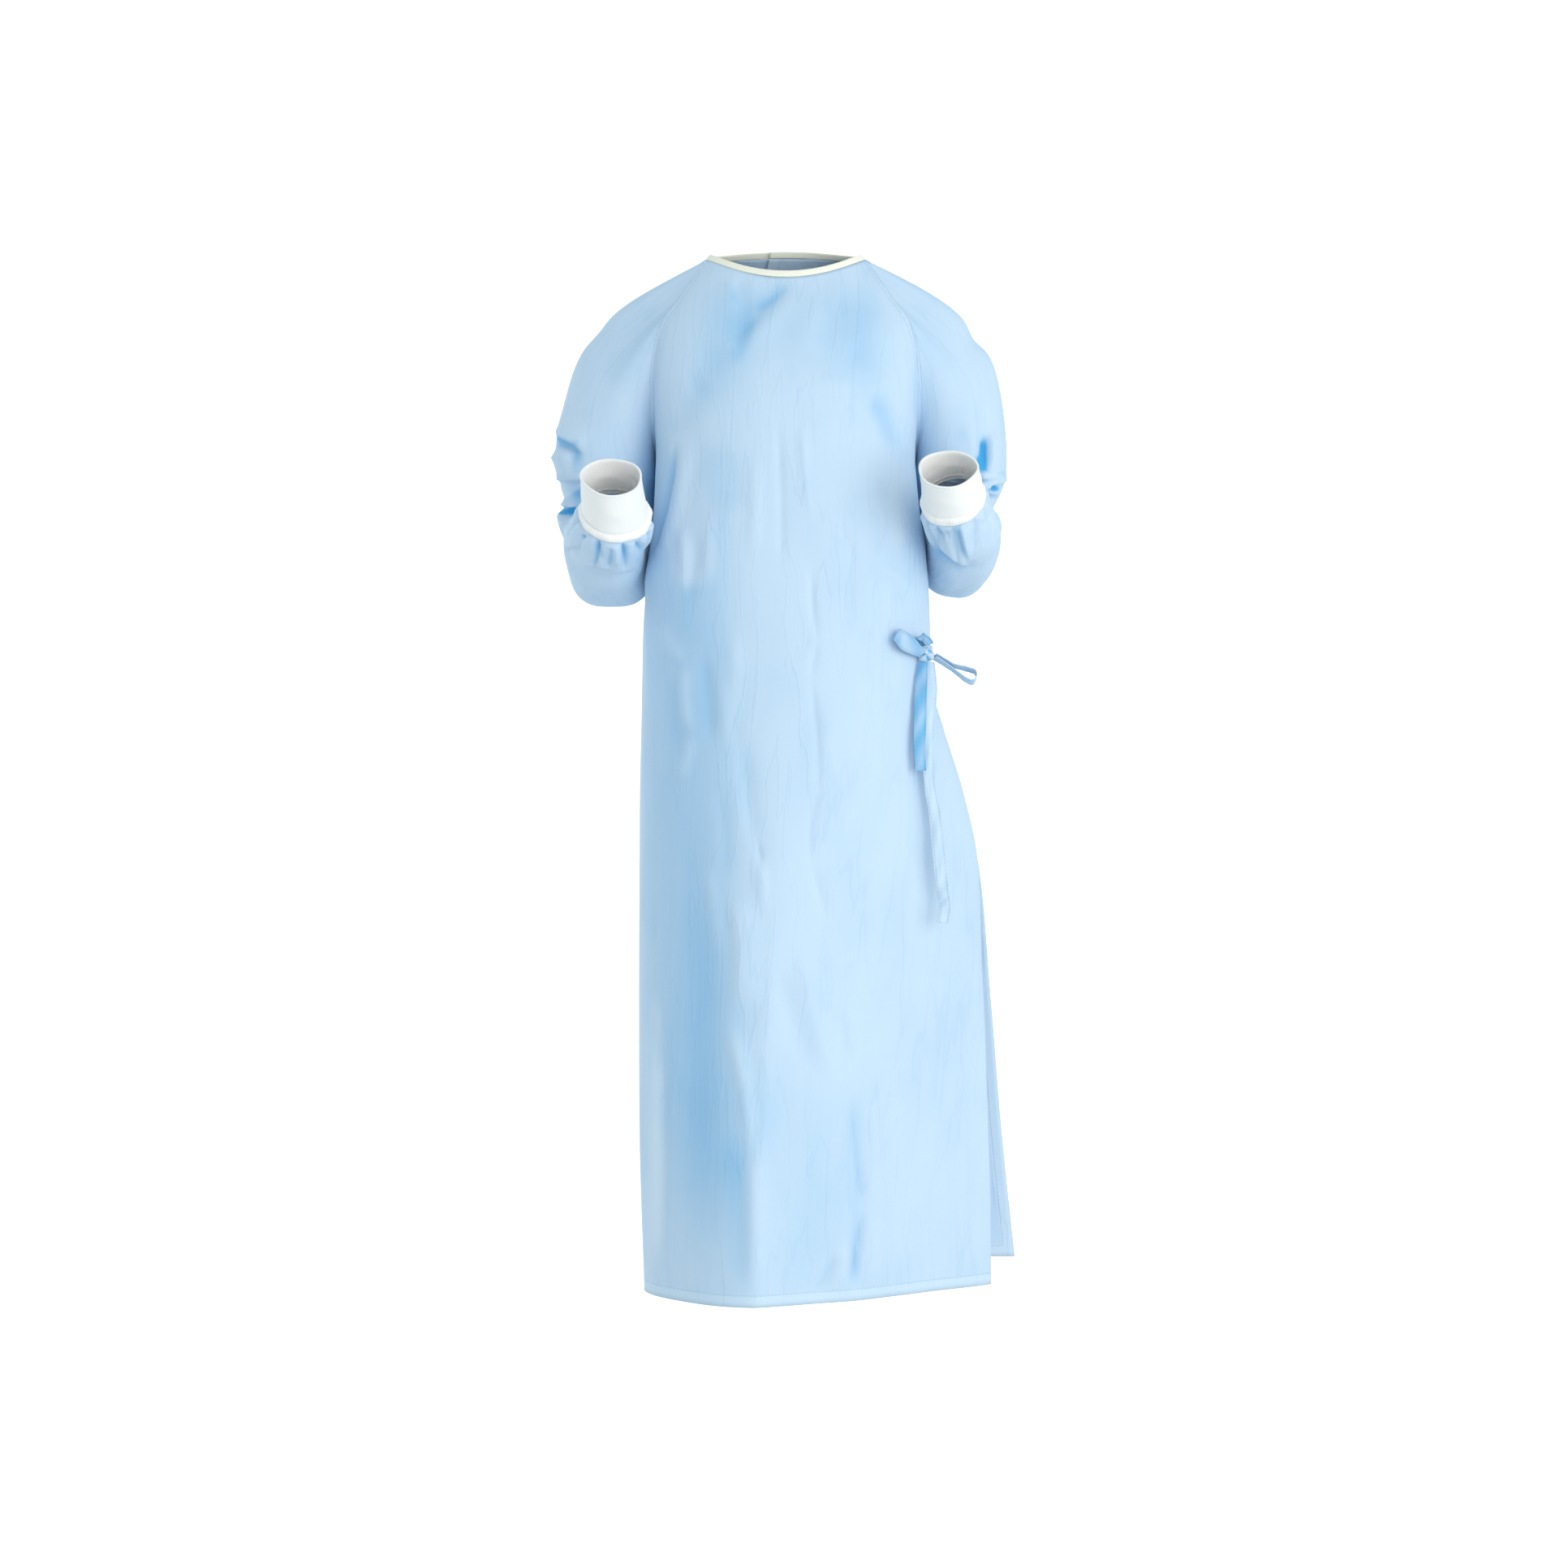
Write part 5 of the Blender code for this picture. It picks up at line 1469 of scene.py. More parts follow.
@dataclass(frozen=True)
class RibKnit:
    """White rib-knit cuff."""

    name: str = "rib_knit_white"
    colour: tuple = (0.945, 0.925, 0.905, 1.0)
    # dip: colour of the painted shade in the grooves between the ribs
    dip: tuple = (0.700, 0.710, 0.715, 1.0)
    rib: float = 0.0026
    course: float = 0.0015

    def make(self) -> Material:
        """Build the material.

        Returns:
            The material.
        """
        r = Recipe(self.name)
        cloth = r.uv("cloth")
        across, down = r.split(cloth)
        ribs = r.wave(across, self.rib)
        ribs = r.spread(ribs, -1.0, 0.6, 0.0, 1.0)
        loops = r.wave(down, self.course)
        slant = r.math("ABSOLUTE", r.wave(across, 2 * self.rib))
        stitch = r.times(r.spread(loops, -1.0, 1.0, 0.0, 1.0), slant)
        fuzz = r.noise(cloth, (900.0, 900.0), 3.0)
        # Painted shade in the grooves between the ribs.
        tone = r.times(r.spread(ribs, 0.0, 0.6, 1.0, 0.0), 0.14)
        base = r.blend(tone, self.colour, self.dip)
        normal = r.bump(ribs, 0.0004, 0.30)
        normal = r.bump(r.math("ADD", stitch, r.times(fuzz, 0.6)), 0.0002, 0.4, normal)
        return r.finish({
            "Base Color": base,
            "Roughness": r.spread(fuzz, 0.3, 0.7, 0.82, 0.95),
            "Normal": normal,
            "Specular IOR Level": 0.25,
            "Sheen Weight": 0.35,
            "Sheen Roughness": 0.55,
        })


@dataclass(frozen=True)
class Tape:
    """Pale yellow binding tape: a fine diagonal weave."""

    name: str = "binding_tape"
    colour: tuple = (0.950, 0.920, 0.800, 1.0)
    # dip: for painted shade in the twill's furrows and for the fuzz's mottling
    dip: tuple = (0.780, 0.770, 0.620, 1.0)
    pitch: float = 0.0009

    def make(self) -> Material:
        """Build the material.

        Returns:
            The material.
        """
        r = Recipe(self.name)
        cloth = r.uv("cloth")
        across, down = r.split(cloth)
        slope = r.math("ADD", across, r.times(down, 0.6))
        twill = r.wave(slope, self.pitch)
        fuzz = r.noise(cloth, (500.0, 500.0), 3.0)
        # Painted shade in the twill's furrows.
        base = r.blend(r.spread(twill, -1.0, 1.0, 0.30, 0.0), self.colour, self.dip)
        base = r.blend(r.spread(fuzz, 0.4, 0.7, 0.0, 0.12), base, self.dip)
        normal = r.bump(r.math("ADD", twill, fuzz), 0.0001, 0.5)
        return r.finish({
            "Base Color": base,
            "Roughness": r.spread(fuzz, 0.3, 0.7, 0.74, 0.86),
            "Normal": normal,
            "Specular IOR Level": 0.3,
            "Sheen Weight": 0.2,
        })


@dataclass(frozen=True)
class HookLoop:
    """White hook-and-loop patch: rows of small tufts."""

    name: str = "hook_and_loop"
    colour: tuple = (0.820, 0.820, 0.810, 1.0)
    # dip: colour of the painted shade between the tufts
    dip: tuple = (0.560, 0.570, 0.580, 1.0)
    pitch: float = 0.0013

    def make(self) -> Material:
        """Build the material.

        Returns:
            The material.
        """
        r = Recipe(self.name)
        cloth = r.uv("cloth")
        cells = r.node(
            "ShaderNodeTexVoronoi", {"Vector": cloth, "Scale": 1 / self.pitch, "Randomness": 0.4}
        )
        fuzz = r.noise(cloth, (1500.0, 1500.0), 3.0)
        # Painted shade in the gaps between the tufts.
        base = r.blend(r.spread(cells, 0.2, 0.7, 0.0, 0.8), self.colour, self.dip)
        normal = r.bump(r.math("SUBTRACT", fuzz, cells), 0.0004, 0.7)
        return r.finish({
            "Base Color": base,
            "Roughness": r.spread(fuzz, 0.3, 0.7, 0.80, 0.95),
            "Normal": normal,
            "Sheen Weight": 0.3,
        })


@dataclass(frozen=True)
class StudioPaper:
    """Matte white paper of the studio's floor."""

    name: str = "studio_paper"
    colour: tuple = (0.930, 0.930, 0.930, 1.0)
    glow: float = 0.60

    def make(self) -> Material:
        """Build the material.

        Returns:
            The material.
        """
        r = Recipe(self.name)
        place = r.node("ShaderNodeTexCoord", {}, output=3)
        grain = r.node("ShaderNodeTexNoise", {"Vector": place, "Scale": 60.0})
        return r.finish({
            "Base Color": self.colour,
            "Roughness": r.spread(grain, 0.3, 0.7, 0.88, 0.96),
            "Specular IOR Level": 0.1,
            "Emission Color": (1.0, 1.0, 1.0, 1.0),
            "Emission Strength": self.glow,
        })


def plain_grid(surface: Callable, rows: Sequence[float], columns: Sequence[float]) -> Array:
    """Points of a surface at each of the rows' places down it and the columns' across it."""
    return np.array([[surface(w, v)[:] for w in columns] for v in rows], dtype=float)


def facing(normals: Array, way: float) -> Array:
    """How much of a cloth faces the front (way -1) or the back (way 1), from 0 to 1."""
    return soft_step(normals[..., 1] * way * 2.5)


@dataclass
class Panel:
    """A body panel: front, or one of the two back panels that lap."""

    name: str
    surface: Callable
    outward: int
    sweeps: tuple
    fine: tuple
    flat: tuple
    cut: float
    columns: int = 240
    lower_rows: int = 138
    keep: float = 0.0  # large folds kept on the back: 1 only ridges, -1 only troughs
    depth: float = 0.030  # of a crease whose trough would be wholly painted shade
    yoke_rows: int = 60

    @property
    def free_edge(self) -> bool:
        """True for the two back panels, which have one."""
        return self.keep != 0

    def rows(self) -> list[float]:
        """Places down the panel: each row's v."""
        yoke = [i / self.yoke_rows for i in range(self.yoke_rows)]
        return yoke + [1 + i / self.lower_rows for i in range(self.lower_rows + 1)]

    def heights(self, plain: Array, normals: Array) -> tuple[Array, Array]:
        """Folds of the panel.

        Args:
            plain: its points without folds.
            normals: its outward directions.

        Returns:
            Heights of all folds, and the painted shade of the fine ones, negative where it is painted
            light.
        """
        w = np.linspace(0.0, 1.0, self.columns + 1)[None, :]
        large = sweep_heights(self.sweeps, plain)
        if self.free_edge:
            large = np.maximum(large * self.keep, 0.0) * self.keep
        sides = w if self.free_edge else np.minimum(w, 1 - w)
        large = large * soft_step(sides * (4 if self.free_edge else 8))
        field = CreaseField(self.fine)
        seen, shown = Sight().front(plain), facing(normals, -1.0)
        if self.free_edge:
            seen, shown = Sight.back(plain), facing(normals, 1.0)
        fine = field.heights(*seen) * shown * soft_step(sides * 30)
        # Tone: the TONE strokes, plus painted shade in the fine creases' troughs and painted light on
        # their crests.
        tone = field.heights(*seen, tone=True) * shown
        return large + fine, tone - np.clip(fine / self.depth, -CREASE_SHADE_LIMIT, CREASE_SHADE_LIMIT)

    def build(self, material: Material) -> Object:
        """Make the panel.

        Args:
            material: its finish.

        Returns:
            The dressed shell.
        """
        w = np.linspace(0.0, 1.0, self.columns + 1)
        plain = plain_grid(self.surface, self.rows(), [float(x) for x in w])
        normals = unit(smoothed(grid_normals(plain, False), 6, False) * self.outward)
        heights, tone = self.heights(plain, normals)
        across, down = run_lengths(plain, 1), run_lengths(plain, 0)
        middle = across - across[:, self.columns // 2][:, None]
        to_seam = across if self.free_edge else np.minimum(across, across[:, -1:] - across)
        to_hem = down[-1:] - down
        if self.free_edge:
            to_hem = np.minimum(to_hem, across[:, -1:] - across)
        seam = seam_heights(to_seam)
        points = plain + normals * (heights + seam)[..., None]
        cloth, edges = paired(middle, -down), paired(to_seam, to_hem)
        mesh = ClothMesh(self.name, points, normals, cloth, edges, np.clip(tone, -1.0, 1.0))
        return dress(mesh.build(), self.name, material)


@dataclass
class Sleeve:
    """One raglan sleeve, with the folds that its bent elbow pushes up."""

    arm: ArmForm
    flat: tuple
    cut: float
    columns: int = 192
    shoulder_rows: int = 56
    arm_rows: int = 150
    gathers: int = 12
    gather_height: float = 0.0042
    fold_depth: float = 0.0160  # of a fold whose trough would be wholly painted shade
    gather_depth: float = 0.0240  # the same of a gather
    tuck_middle: float = 196.0  # angle of the side that faces the body
    tuck_reach: float = 60.0  # how far round that side's shade reaches
    # share of painted shade on the side that faces the body
    tuck_painted_shade: float = 0.55
    girth: float = 0.36  # round the upper arm, which tells how far the underarm seam is

    @property
    def name(self) -> str:
        """Name of the sleeve's solid."""
        return f"sleeve_{self.arm.side}"

    def gather(self, around: Array, at: Array) -> Array:
        """Gathers at the wrist, deepest just above the cuff and uneven round it.

        Args:
            around: angles round the arm in degrees.
            at: places along the arm.

        Returns:
            Heights in metres.
        """
        turn = np.radians(around)
        begin = 8.0 + 0.5 * np.sin(turn * 5 + 1.0) + 0.35 * np.sin(turn * 8 + 2.2)
        rise = soft_step((at - begin) / 1.3) * soft_step((10.05 - at) / 0.35)
        uneven = 0.72 + 0.28 * np.sin(turn * 4 + 0.7)
        warp = turn * self.gathers + 0.9 * np.sin(turn * 3 + 0.7) + 0.4 * np.sin(turn * 7)
        lean = warp * 0.5 + 0.5 * np.sin(at * 1.3 + turn * 2)
        pleats = 1 - 2 * np.abs(np.cos(lean)) ** 0.8
        return -self.gather_height * rise * uneven * (pleats - 0.25)

    def tucked(self, around: Array, at: Array) -> Array:
        """Shade of the side that faces the body.

        Args:
            around: angles round the arm in degrees.
            at: places along the arm.

        Returns:
            Shares from 0 to 1.
        """
        away = np.abs(wrapped(around - self.tuck_middle))
        shade = soft_step(1.4 - away / self.tuck_reach)
        return shade * soft_step(at / 0.8) * soft_step((6.6 - at) / 2.6)

    def build(self, material: Material) -> Object:
        """Make the sleeve.

        Args:
            material: its finish.

        Returns:
            The dressed shell.
        """
        side = self.arm.side
        upper = [i / self.shoulder_rows for i in range(self.shoulder_rows)]
        lower = [1 + 9 * i / self.arm_rows for i in range(self.arm_rows + 1)]
        at = np.array(upper + lower)[:, None]
        around = (360.0 * np.arange(self.columns + 1) / self.columns)[None, :]
        angles = [float(a) % 360.0 for a in around[0]]
        plain = plain_grid(self.arm.point, upper + lower, angles)
        normals = unit(smoothed(grid_normals(plain, True) * -self.arm.sign, 3, True))
        start = soft_step(at / 0.3)
        folds = fold_heights(SLEEVE_FOLDS[side], around, at)
        folds = folds * start * soft_step((10 - at) / 1.5) + self.gather(around, at)
        field, seen = CreaseField(SLEEVE_FINE[side]), Sight().front(plain)
        fine = field.heights(*seen) * facing(normals, -1.0)
        # Tone is painted shade: the TONE strokes, the troughs of folds and gathers, and the side that
        # faces the body; crests get painted light.
        tone = field.heights(*seen, tone=True) * soft_step(0.8 - normals[..., 1] * 3)
        fine = fine + fold_heights(SLEEVE_HIDDEN[side], around, at)
        fine = fine * start * soft_step((10 - at) / 0.6)
        tone = tone - fine / self.fold_depth - self.gather(around, at) / self.gather_depth
        tone = np.maximum(tone, self.tucked(around, at) * self.tuck_painted_shade)
        to_seam = run_lengths(plain, 0)
        under = np.abs(wrapped(around - 180.0)) / 360.0 * self.girth
        seam_reach = np.minimum(to_seam, under + 0 * to_seam)
        seam = seam_heights(seam_reach)
        points = plain + normals * (folds + fine + seam)[..., None]
        cloth = paired(run_lengths(plain, 1), -to_seam)
        edges = paired(seam_reach, np.ones_like(seam_reach))
        tone = np.clip(tone, -1.0, 1.0)
        mesh = ClothMesh(self.name, points, normals, cloth, edges, tone, tube=True)
        piece = dress(mesh.build(), self.name, material)
        return piece


@dataclass
class Cuff:
    """Knit tube, with the thick rolled ridge where it is sewn to the sleeve."""

    arm: ArmForm
    flat: tuple
    wall: float = 0.0022
    ridge_length: float = 0.0095
    ridge_height: float = 0.0034
    groove: float = 0.0012  # depth and half-width of the dip below the ridge
    lip: float = 0.0007  # height of the roll at the open end
    lip_reach: float = 0.0016
    pinch: float = 0.0009  # height of the uneven stretch halfway
    purl: float = 0.0003  # height of the ridge's own small ribs
    columns: int = 168
    rows: int = 56

    def build(self, material: Material) -> Object:
        """Make the cuff.

        Args:
            material: its finish.

        Returns:
            The dressed shell.
        """
        side, name, rings = self.arm.side, f"cuff_{self.arm.side}", CUFFS[self.arm.side]
        length = (Vector(rings[-1][1:4]) - Vector(rings[0][1:4])).length
        places = [i / self.rows for i in range(self.rows + 1)]
        turns = 2 * math.pi * np.arange(self.columns + 1) / self.columns
        points = np.zeros((self.rows + 1, self.columns + 1, 3))
        outward = np.zeros_like(points)
        rise = np.zeros(points.shape[:2])
        for i, place in enumerate(places):
            ring = between(rings, place)
            outer, front, _ = self.arm.axes(ring.pitch, ring.roll)
            out = np.outer(np.cos(turns), outer) + np.outer(np.sin(turns), front)
            along = place * length
            bulge = math.sin(min(along / self.ridge_length, 1.0) * math.pi) ** 0.7
            groove = self.groove * bell(along - self.ridge_length, self.groove)
            lip = self.lip * bell(length - along, self.lip_reach)
            wave = 0.0009 * np.sin(turns * 3 + 0.8) * place + 0.0004 * np.sin(turns * 5 + 2.0)
            pinch = self.pinch * bell(place - 0.55, 0.12) * np.sin(turns * 3 + 1.0)
            lumps = 1 + 0.18 * np.sin(turns * 7 + 0.6) + 0.10 * np.sin(turns * 16)
            rise[i] = self.ridge_height * bulge * lumps - groove + lip + wave + pinch
            if along < self.ridge_length:
                rise[i] += self.purl * np.sin(turns * 64)
            middle = np.array([self.arm.sign * ring.x, ring.y, ring.z])
            points[i] = middle + out * (ring.radius + rise[i])[:, None]
            outward[i] = out
        girth = np.outer(np.ones(self.rows + 1), turns * rings[1].radius)
        down = np.outer(np.array(places) * length, np.ones(self.columns + 1))
        cloth = paired(girth, down)
        flat, wall = np.zeros_like(rise), self.wall
        mesh = ClothMesh(name, points, outward, cloth, cloth, flat, tube=True, thickness=wall)
        piece = dress(mesh.build(), name, material)
        return piece


@dataclass
class NeckBinding:
    """Folded tape round the neck, from the under panel's edge to the over panel's."""

    body: BodyForm
    flat: tuple = (0.0120, 0.515)
    height: float = 0.0078
    thick: float = 0.0026
    gap: float = 0.0003
    wall: float = 0.0020
    columns: int = 300
    round: int = 20

    def build(self, material: Material) -> Object:
        """Make the binding.

        Args:
            material: its finish.

        Returns:
            The dressed piece.
        """
        name, start, end = "neck_binding", EDGES[0].under, -EDGES[0].over
        points = np.zeros((self.columns + 1, self.round + 1, 3))
        outward = np.zeros_like(points)
        for i in range(self.columns + 1):
            angle = mix(start, end, i / self.columns)
            point = self.body.neck_point(angle)
            away = Vector((point.x, point.y, 0.0)).normalized()
            if angle < -self.body.back_raglan:
                point = point + away * self.body.over_lap(-angle, 0.0)
            lean = math.radians(mix(14.0, 38.0, away.x**2))
            up = Vector((0, 0, math.cos(lean))) - away * math.sin(lean)
            face = Vector((0, 0, math.sin(lean))) + away * math.cos(lean)
            middle = point + up * (self.gap + self.height / 2) - face * self.wall / 2
            wave = 1 + 0.03 * math.sin(i * 0.9) + 0.02 * math.sin(i * 0.37 + 1)
            for j in range(self.round + 1):
                turn = 2 * math.pi * (j % self.round) / self.round
                c, s = math.cos(turn), math.sin(turn)
                flat = math.copysign(abs(c) ** 0.5, c) * self.thick / 2 * wave
                tall = math.copysign(abs(s) ** 0.8, s) * self.height / 2
                points[i, j] = middle + face * flat + up * tall
                outward[i, j] = face * c + up * s
        cloth = paired(run_lengths(points, 0), run_lengths(points, 1))
        flat = np.zeros(points.shape[:2])
        mesh = ClothMesh(name, points, outward, cloth, cloth, flat, tube=True, capped=True)
        piece = dress(mesh.build(), name, material)
        return piece


@dataclass
class NeckTab:
    """Hook-and-loop patch on the over panel at the back of the neck."""

    body: BodyForm
    across: tuple = (0.60, 0.94)
    down: tuple = (0.10, 0.22)
    lift: float = 0.0005
    thick: float = 0.0011
    columns: int = 24
    rows: int = 12

    def build(self, material: Material) -> Object:
        """Make the patch.

        Args:
            material: its finish.

        Returns:
            The dressed shell.
        """
        columns = [mix(*self.across, i / self.columns) for i in range(self.columns + 1)]
        rows = [mix(*self.down, i / self.rows) for i in range(self.rows + 1)]
        plain = plain_grid(self.body.over, rows, columns)
        normals = -grid_normals(plain, False)
        points = plain + normals * (self.lift + self.thick)
        across, down = run_lengths(plain, 1), run_lengths(plain, 0)
        cloth, flat = paired(across, down), np.zeros(across.shape)
        mesh = ClothMesh("neck_tab", points, normals, cloth, cloth, flat, thickness=self.thick)
        return dress(mesh.build(), "neck_tab", material)


@dataclass
class Belt:
    """Belt: the strap round the wearer's left side, the knot, its loops and tails."""

    body: BodyForm
    waist: float = 0.452
    width: float = 0.016
    thick: float = 0.0011
    gap: float = 0.0003
    knot_middle: Vector = Vector((0.1578, -0.1030, -0.4550))
    knot_size: Vector = Vector((0.0190, 0.0170, 0.0180))
    strap_flat: tuple = (0.016, 0.175)
    strap_start: float = 128.0  # angle of its end on the over panel
    strap_end: float = 66.0  # angle of its end at the knot
    shift: float = 0.0026  # brings the cloth's seam line to 1.9 mm from the belt's edge
    uneven: float = 0.12  # how much the painted shade wanders, in diagonal bands
    steps: int = 24  # rows for each row of a belt end's table
    strap_steps: int = 90
    across: int = 12  # columns

    def shell(self, name: str, points: Array, material: Material, tone: float = 0.0) -> Object:
        """Make one stretch of the belt.

        Args:
            name: the solid's name.
            points: its outer points, rows along it.
            material: its finish.
            tone: its share of painted shade, negative for painted light.

        Returns:
            The dressed shell.
        """
        normals = grid_normals(points, False)
        along, across = run_lengths(points, 0), run_lengths(points, 1)
        edge = np.minimum(across, across[:, -1:] - across) + self.shift
        # Painted shade (painted light where negative), wavering in diagonal bands.
        shade = tone + self.uneven * np.sin(along * 140.0 + across * 260.0)
        cloth, edges = paired(across, along), paired(edge, np.ones_like(edge))
        mesh = ClothMesh(name, points, normals, cloth, edges, shade, thickness=self.thick)
        return dress(mesh.build(), name, material)

    def band(self, name: str, rows: tuple, crumple: float) -> Array:
        """Points of a belt end along a smooth line.

        Args:
            name: the solid's name; not used.
            rows: places along the line.
            crumple: height of the small wrinkles in it.

        Returns:
            Outer points, rows along it.
        """
        across, steps = self.across, self.steps * (len(rows) - 1)
        spaced = tuple(Spot(float(i), *row) for i, row in enumerate(rows))
        points = np.zeros((steps + 1, across + 1, 3))
        for k in range(steps + 1):
            at = k / self.steps
            here = between(spaced, at)
            before, after = between(spaced, max(at - 0.05, 0.0)), between(spaced, at + 0.05)
            ahead = (Vector(after[1:4]) - Vector(before[1:4])).normalized()
            lean, turn = math.radians(here[5]), math.radians(here[6])
            level = math.cos(turn)
            wide = Vector((math.sin(lean) * level, -math.sin(turn), math.cos(lean) * level))
            wide = (wide - ahead * wide.dot(ahead)).normalized()
            out = ahead.cross(wide)
            free = math.sin(math.pi * k / steps) ** 0.5
            for j in range(across + 1):
                side = j / across - 0.5
                ripple = math.sin(k * 0.31 + 5 * side) + 0.6 * math.sin(k * 0.13 - 7 * side + 1)
                rise = crumple * free * (0.5 * ripple - 1.6 * abs(side) + 0.5)
                point = Vector(here[1:4]) + wide * here[4] * side
                points[k, j] = point + out * (self.thick / 2 + rise)
        return points

    def strap(self) -> Array:
        """Points of the strap from the over panel's free edge to the knot.

        Returns:
            Outer points, rows along it.
        """
        steps, across = self.strap_steps, self.across
        edge = 360.0 - between(EDGES, self.waist).over
        points = np.zeros((steps + 1, across + 1, 3))
        for k in range(steps + 1):
            angle = mix(self.strap_start, self.strap_end, k / steps)
            over = soft_step((angle - edge + 9.0) / 7.0)
            lift = mix(self.gap * 3, self.body.lap + self.gap * 4, over)
            for j in range(across + 1):
                drop = self.waist + self.width * (j / across - 0.5)
                a = self.body.body_point(drop, angle - 0.5)
                b = self.body.body_point(drop, angle + 0.5)
                out = Vector((b.y - a.y, a.x - b.x, 0.0)).normalized()
                pucker = 0.0005 * math.sin(k * 0.5 + j * 0.6) * (0.4 + k / steps)
                point = self.body.body_point(drop, angle)
                points[k, j] = point + out * (lift + self.thick + abs(pucker))
        return points

    def knot(self, material: Material) -> Object:
        """Make the knot: the band's turns drawn tight over each other.

        Args:
            material: its finish.

        Returns:
            The dressed piece.
        """
        bm = bmesh.new()
        uv = bm.loops.layers.uv.new("cloth")
        edges = bm.loops.layers.uv.new("edges")
        fold = bm.verts.layers.float.new("fold")
        bmesh.ops.create_uvsphere(bm, u_segments=64, v_segments=40, radius=0.5)
        for face in bm.faces:
            for loop in face.loops:
                loop[uv].uv = (loop.vert.co.x * 0.05, loop.vert.co.z * 0.05)
                loop[edges].uv = (1.0, 1.0)
        for vert in bm.verts:
            co = vert.co.copy()
            turn = math.atan2(co.z, co.x)
            groove = 0.10 * math.cos(3 * turn + 0.6)
            wrap = 0.07 * math.cos(9 * (co.x * 0.8 + co.z) + 3 * co.y)
            pleat = 0.03 * math.cos(30 * (co.x - 0.6 * co.z) + 4 * co.y)
            # Painted shade in the knot's grooves and wraps, painted light on their crests.
            vert[fold] = max(0.12 - (wrap + pleat + groove) * 4.0, -0.2)
            size = 1 + groove + wrap + pleat - 0.08
            vert.co = self.knot_middle + Vector(c * s * size for c, s in zip(co, self.knot_size))
        bmesh.ops.recalc_face_normals(bm, faces=bm.faces[:])
        piece = as_object(bm, "belt_knot_turns")
        LOG.info("belt_knot: %d faces", len(piece.data.polygons))
        return dress(piece, "belt_knot", material)

    def build(self, material: Material) -> list[Object]:
        """Make the whole belt.

        Args:
            material: its finish.

        Returns:
            Its pieces.
        """
        knot = self.knot(material)
        strap = self.shell("belt_strap", self.strap(), material)
        made = [knot, strap]
        for name, rows, flat, crumple, tone in BELT_ENDS:
            piece = self.shell(name, self.band(name, rows, crumple), material, tone)
            made.append(piece)
        return made


@dataclass
class Gown:
    """The whole gown, with the flat sizes and areas of its cuts."""

    body: BodyForm = BodyForm()
    front_cut: tuple = ((0.66, 1.22), 0.66)
    under_cut: tuple = ((0.46, 1.20), 0.46)
    over_cut: tuple = ((0.56, 1.20), 0.56)
    sleeve_cut: tuple = ((0.42, 0.58), 0.165)
    cuff_flat: tuple = (0.215, 0.062)
    ridges: tuple = (("right", 0.0034), ("left", 0.0020))
    soft_depth: float = 0.012  # of a back crease whose trough would be wholly painted shade; the back's creases are lower than the front's

    def build(self) -> None:
        """Make all its pieces, from the body outwards."""
        blue, knit, body = Nonwoven().make(), RibKnit().make(), self.body
        back = (BACK_SWEEPS, BACK_FINE)
        front = Panel("front", body.front, 1, FRONT_SWEEPS, FRONT_FINE, *self.front_cut)
        under = Panel("back_left", body.under, 1, *back, *self.under_cut, 96, 120, -1.0)
        over = Panel("back_right", body.over, -1, *back, *self.over_cut, 120, 130, 1.0)
        under.depth = over.depth = self.soft_depth
        front.build(blue)
        under.build(blue)
        tab = NeckTab(body).build(HookLoop().make())
        over.build(blue)
        for side, ridge in self.ridges:
            arm = ArmForm(side, body)
            Sleeve(arm, *self.sleeve_cut).build(blue)
            Cuff(arm, self.cuff_flat, ridge_height=ridge).build(knit)
        NeckBinding(body).build(Tape().make())
        Belt(body).build(blue)


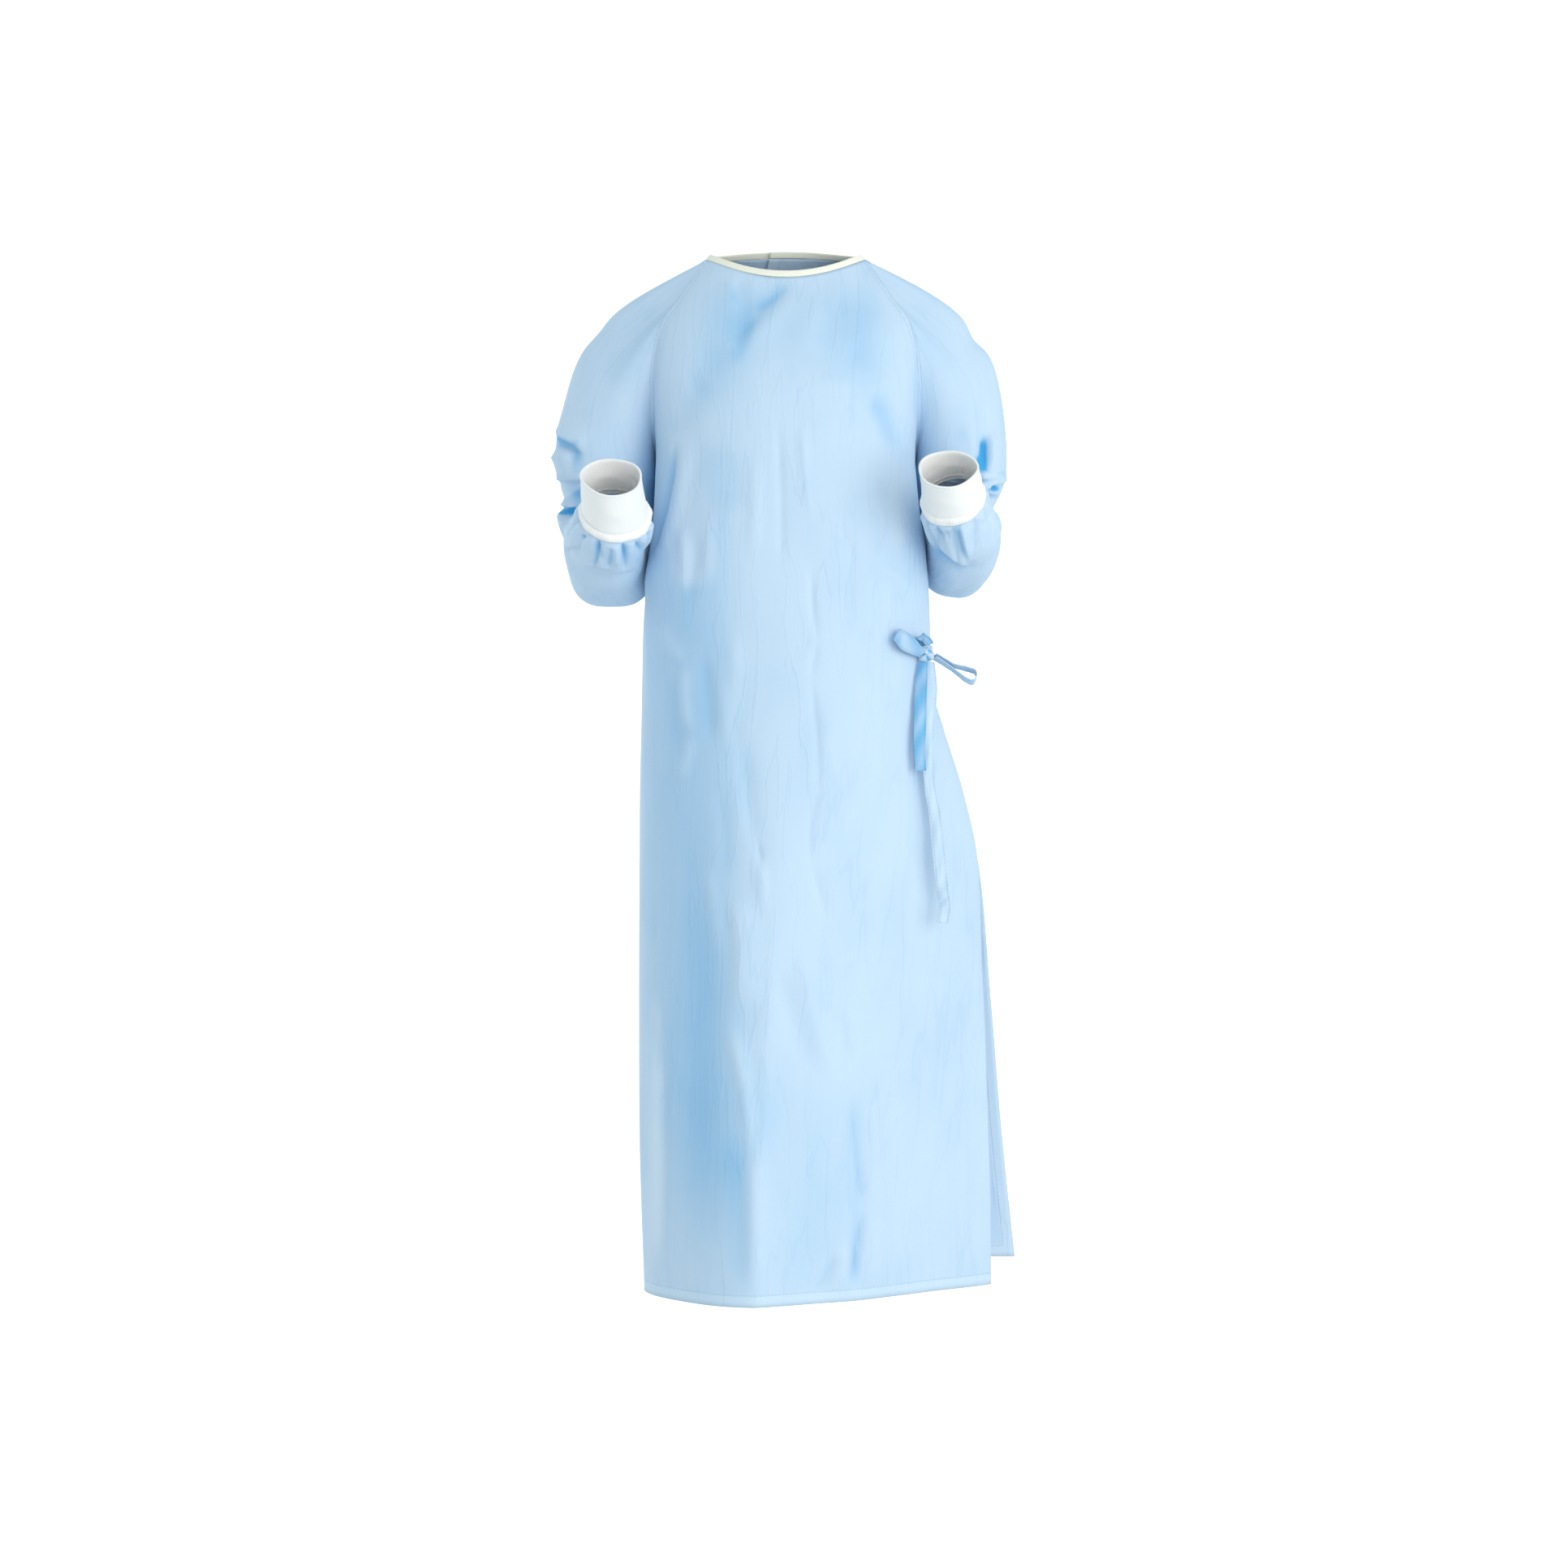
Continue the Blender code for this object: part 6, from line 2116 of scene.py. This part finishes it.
@dataclass
class Studio:
    """Plain white floor, soft light from the right and front, and the camera."""

    floor: float = -1.446
    wall: float = 7.0
    half_width: float = 14.0
    near: float = -9.0
    bend: float = 1.6
    rise: float = 5.0  # of the wall above the bend
    sky: float = 0.79
    camera_place: Vector = Vector((-0.002, -4.26, -0.54))
    camera_pitch: float = -0.83
    lens: float = 84.94
    aim: Vector = Vector((0.0, 0.0, -0.6))
    sky_colour: tuple = (0.85, 0.96, 1.0, 1.0)
    lamp_colour: tuple = (1.0, 0.97, 0.93)
    lamps: tuple = (
        ("key", Vector((3.0, -2.6, 0.0)), 3.0, 46.0),
        ("front", Vector((1.6, -4.0, -0.3)), 3.0, 50.0),
        ("rim", Vector((-2.6, 1.6, 0.2)), 2.0, 20.0),
    )

    def backdrop(self) -> Object:
        """Make the floor that rises behind the object.

        Returns:
            The stage piece.
        """
        bm = bmesh.new()
        bmesh.ops.create_grid(bm, x_segments=4, y_segments=60, size=0.5)
        turn = math.pi / 2 * self.bend
        flat = self.wall - self.near - self.bend
        total = flat + turn + self.rise
        for vert in bm.verts:
            run = (vert.co.y + 0.5) * total
            x = vert.co.x * 2 * self.half_width
            if run < flat:
                vert.co = Vector((x, self.near + run, self.floor))
            elif run < flat + turn:
                a = (run - flat) / self.bend
                y = self.wall - self.bend + math.sin(a) * self.bend
                vert.co = Vector((x, y, self.floor + (1 - math.cos(a)) * self.bend))
            else:
                vert.co = Vector((x, self.wall, self.floor + self.bend + run - flat - turn))
        bmesh.ops.recalc_face_normals(bm, faces=bm.faces[:])
        bm.normal_update()
        if sum(f.normal.z for f in bm.faces) < 0:
            bmesh.ops.reverse_faces(bm, faces=bm.faces[:])
        piece = as_object(bm, "studio_floor")
        piece.data.materials.append(StudioPaper().make())
        piece.visible_diffuse = False
        return piece

    def light(self, name: str, place: Vector, size: float, watts: float) -> None:
        """Hang a soft light.

        Args:
            name: its name.
            place: where it hangs.
            size: its side.
            watts: its power.
        """
        data = bpy.data.lights.new(name, "AREA")
        data.shape = "SQUARE"
        data.size = size
        data.energy = watts
        data.color = self.lamp_colour
        lamp = bpy.data.objects.new(name, data)
        lamp.location = place
        lamp.rotation_euler = (self.aim - place).to_track_quat("-Z", "Y").to_euler()
        bpy.context.scene.collection.objects.link(lamp)

    def build(self) -> None:
        """Make the studio."""
        scene = bpy.context.scene
        scene.view_settings.view_transform = "Standard"
        world = bpy.data.worlds.new("studio_sky")
        world.use_nodes = True
        background = world.node_tree.nodes["Background"]
        background.inputs["Color"].default_value = self.sky_colour
        background.inputs["Strength"].default_value = self.sky
        scene.world = world
        self.backdrop()
        for lamp in self.lamps:
            self.light(*lamp)
        data = bpy.data.cameras.new("camera")
        data.lens = self.lens
        data.sensor_width = 36.0
        camera = bpy.data.objects.new("camera", data)
        camera.location = self.camera_place
        camera.rotation_euler = (math.radians(90.0 + self.camera_pitch), 0.0, 0.0)
        scene.collection.objects.link(camera)
        scene.camera = camera


def main() -> None:
    """Build the studio and the gown."""
    logging.basicConfig(level=logging.INFO, format="%(name)s %(message)s")
    Studio().build()
    Gown().build()


if __name__ == "__main__":
    main()
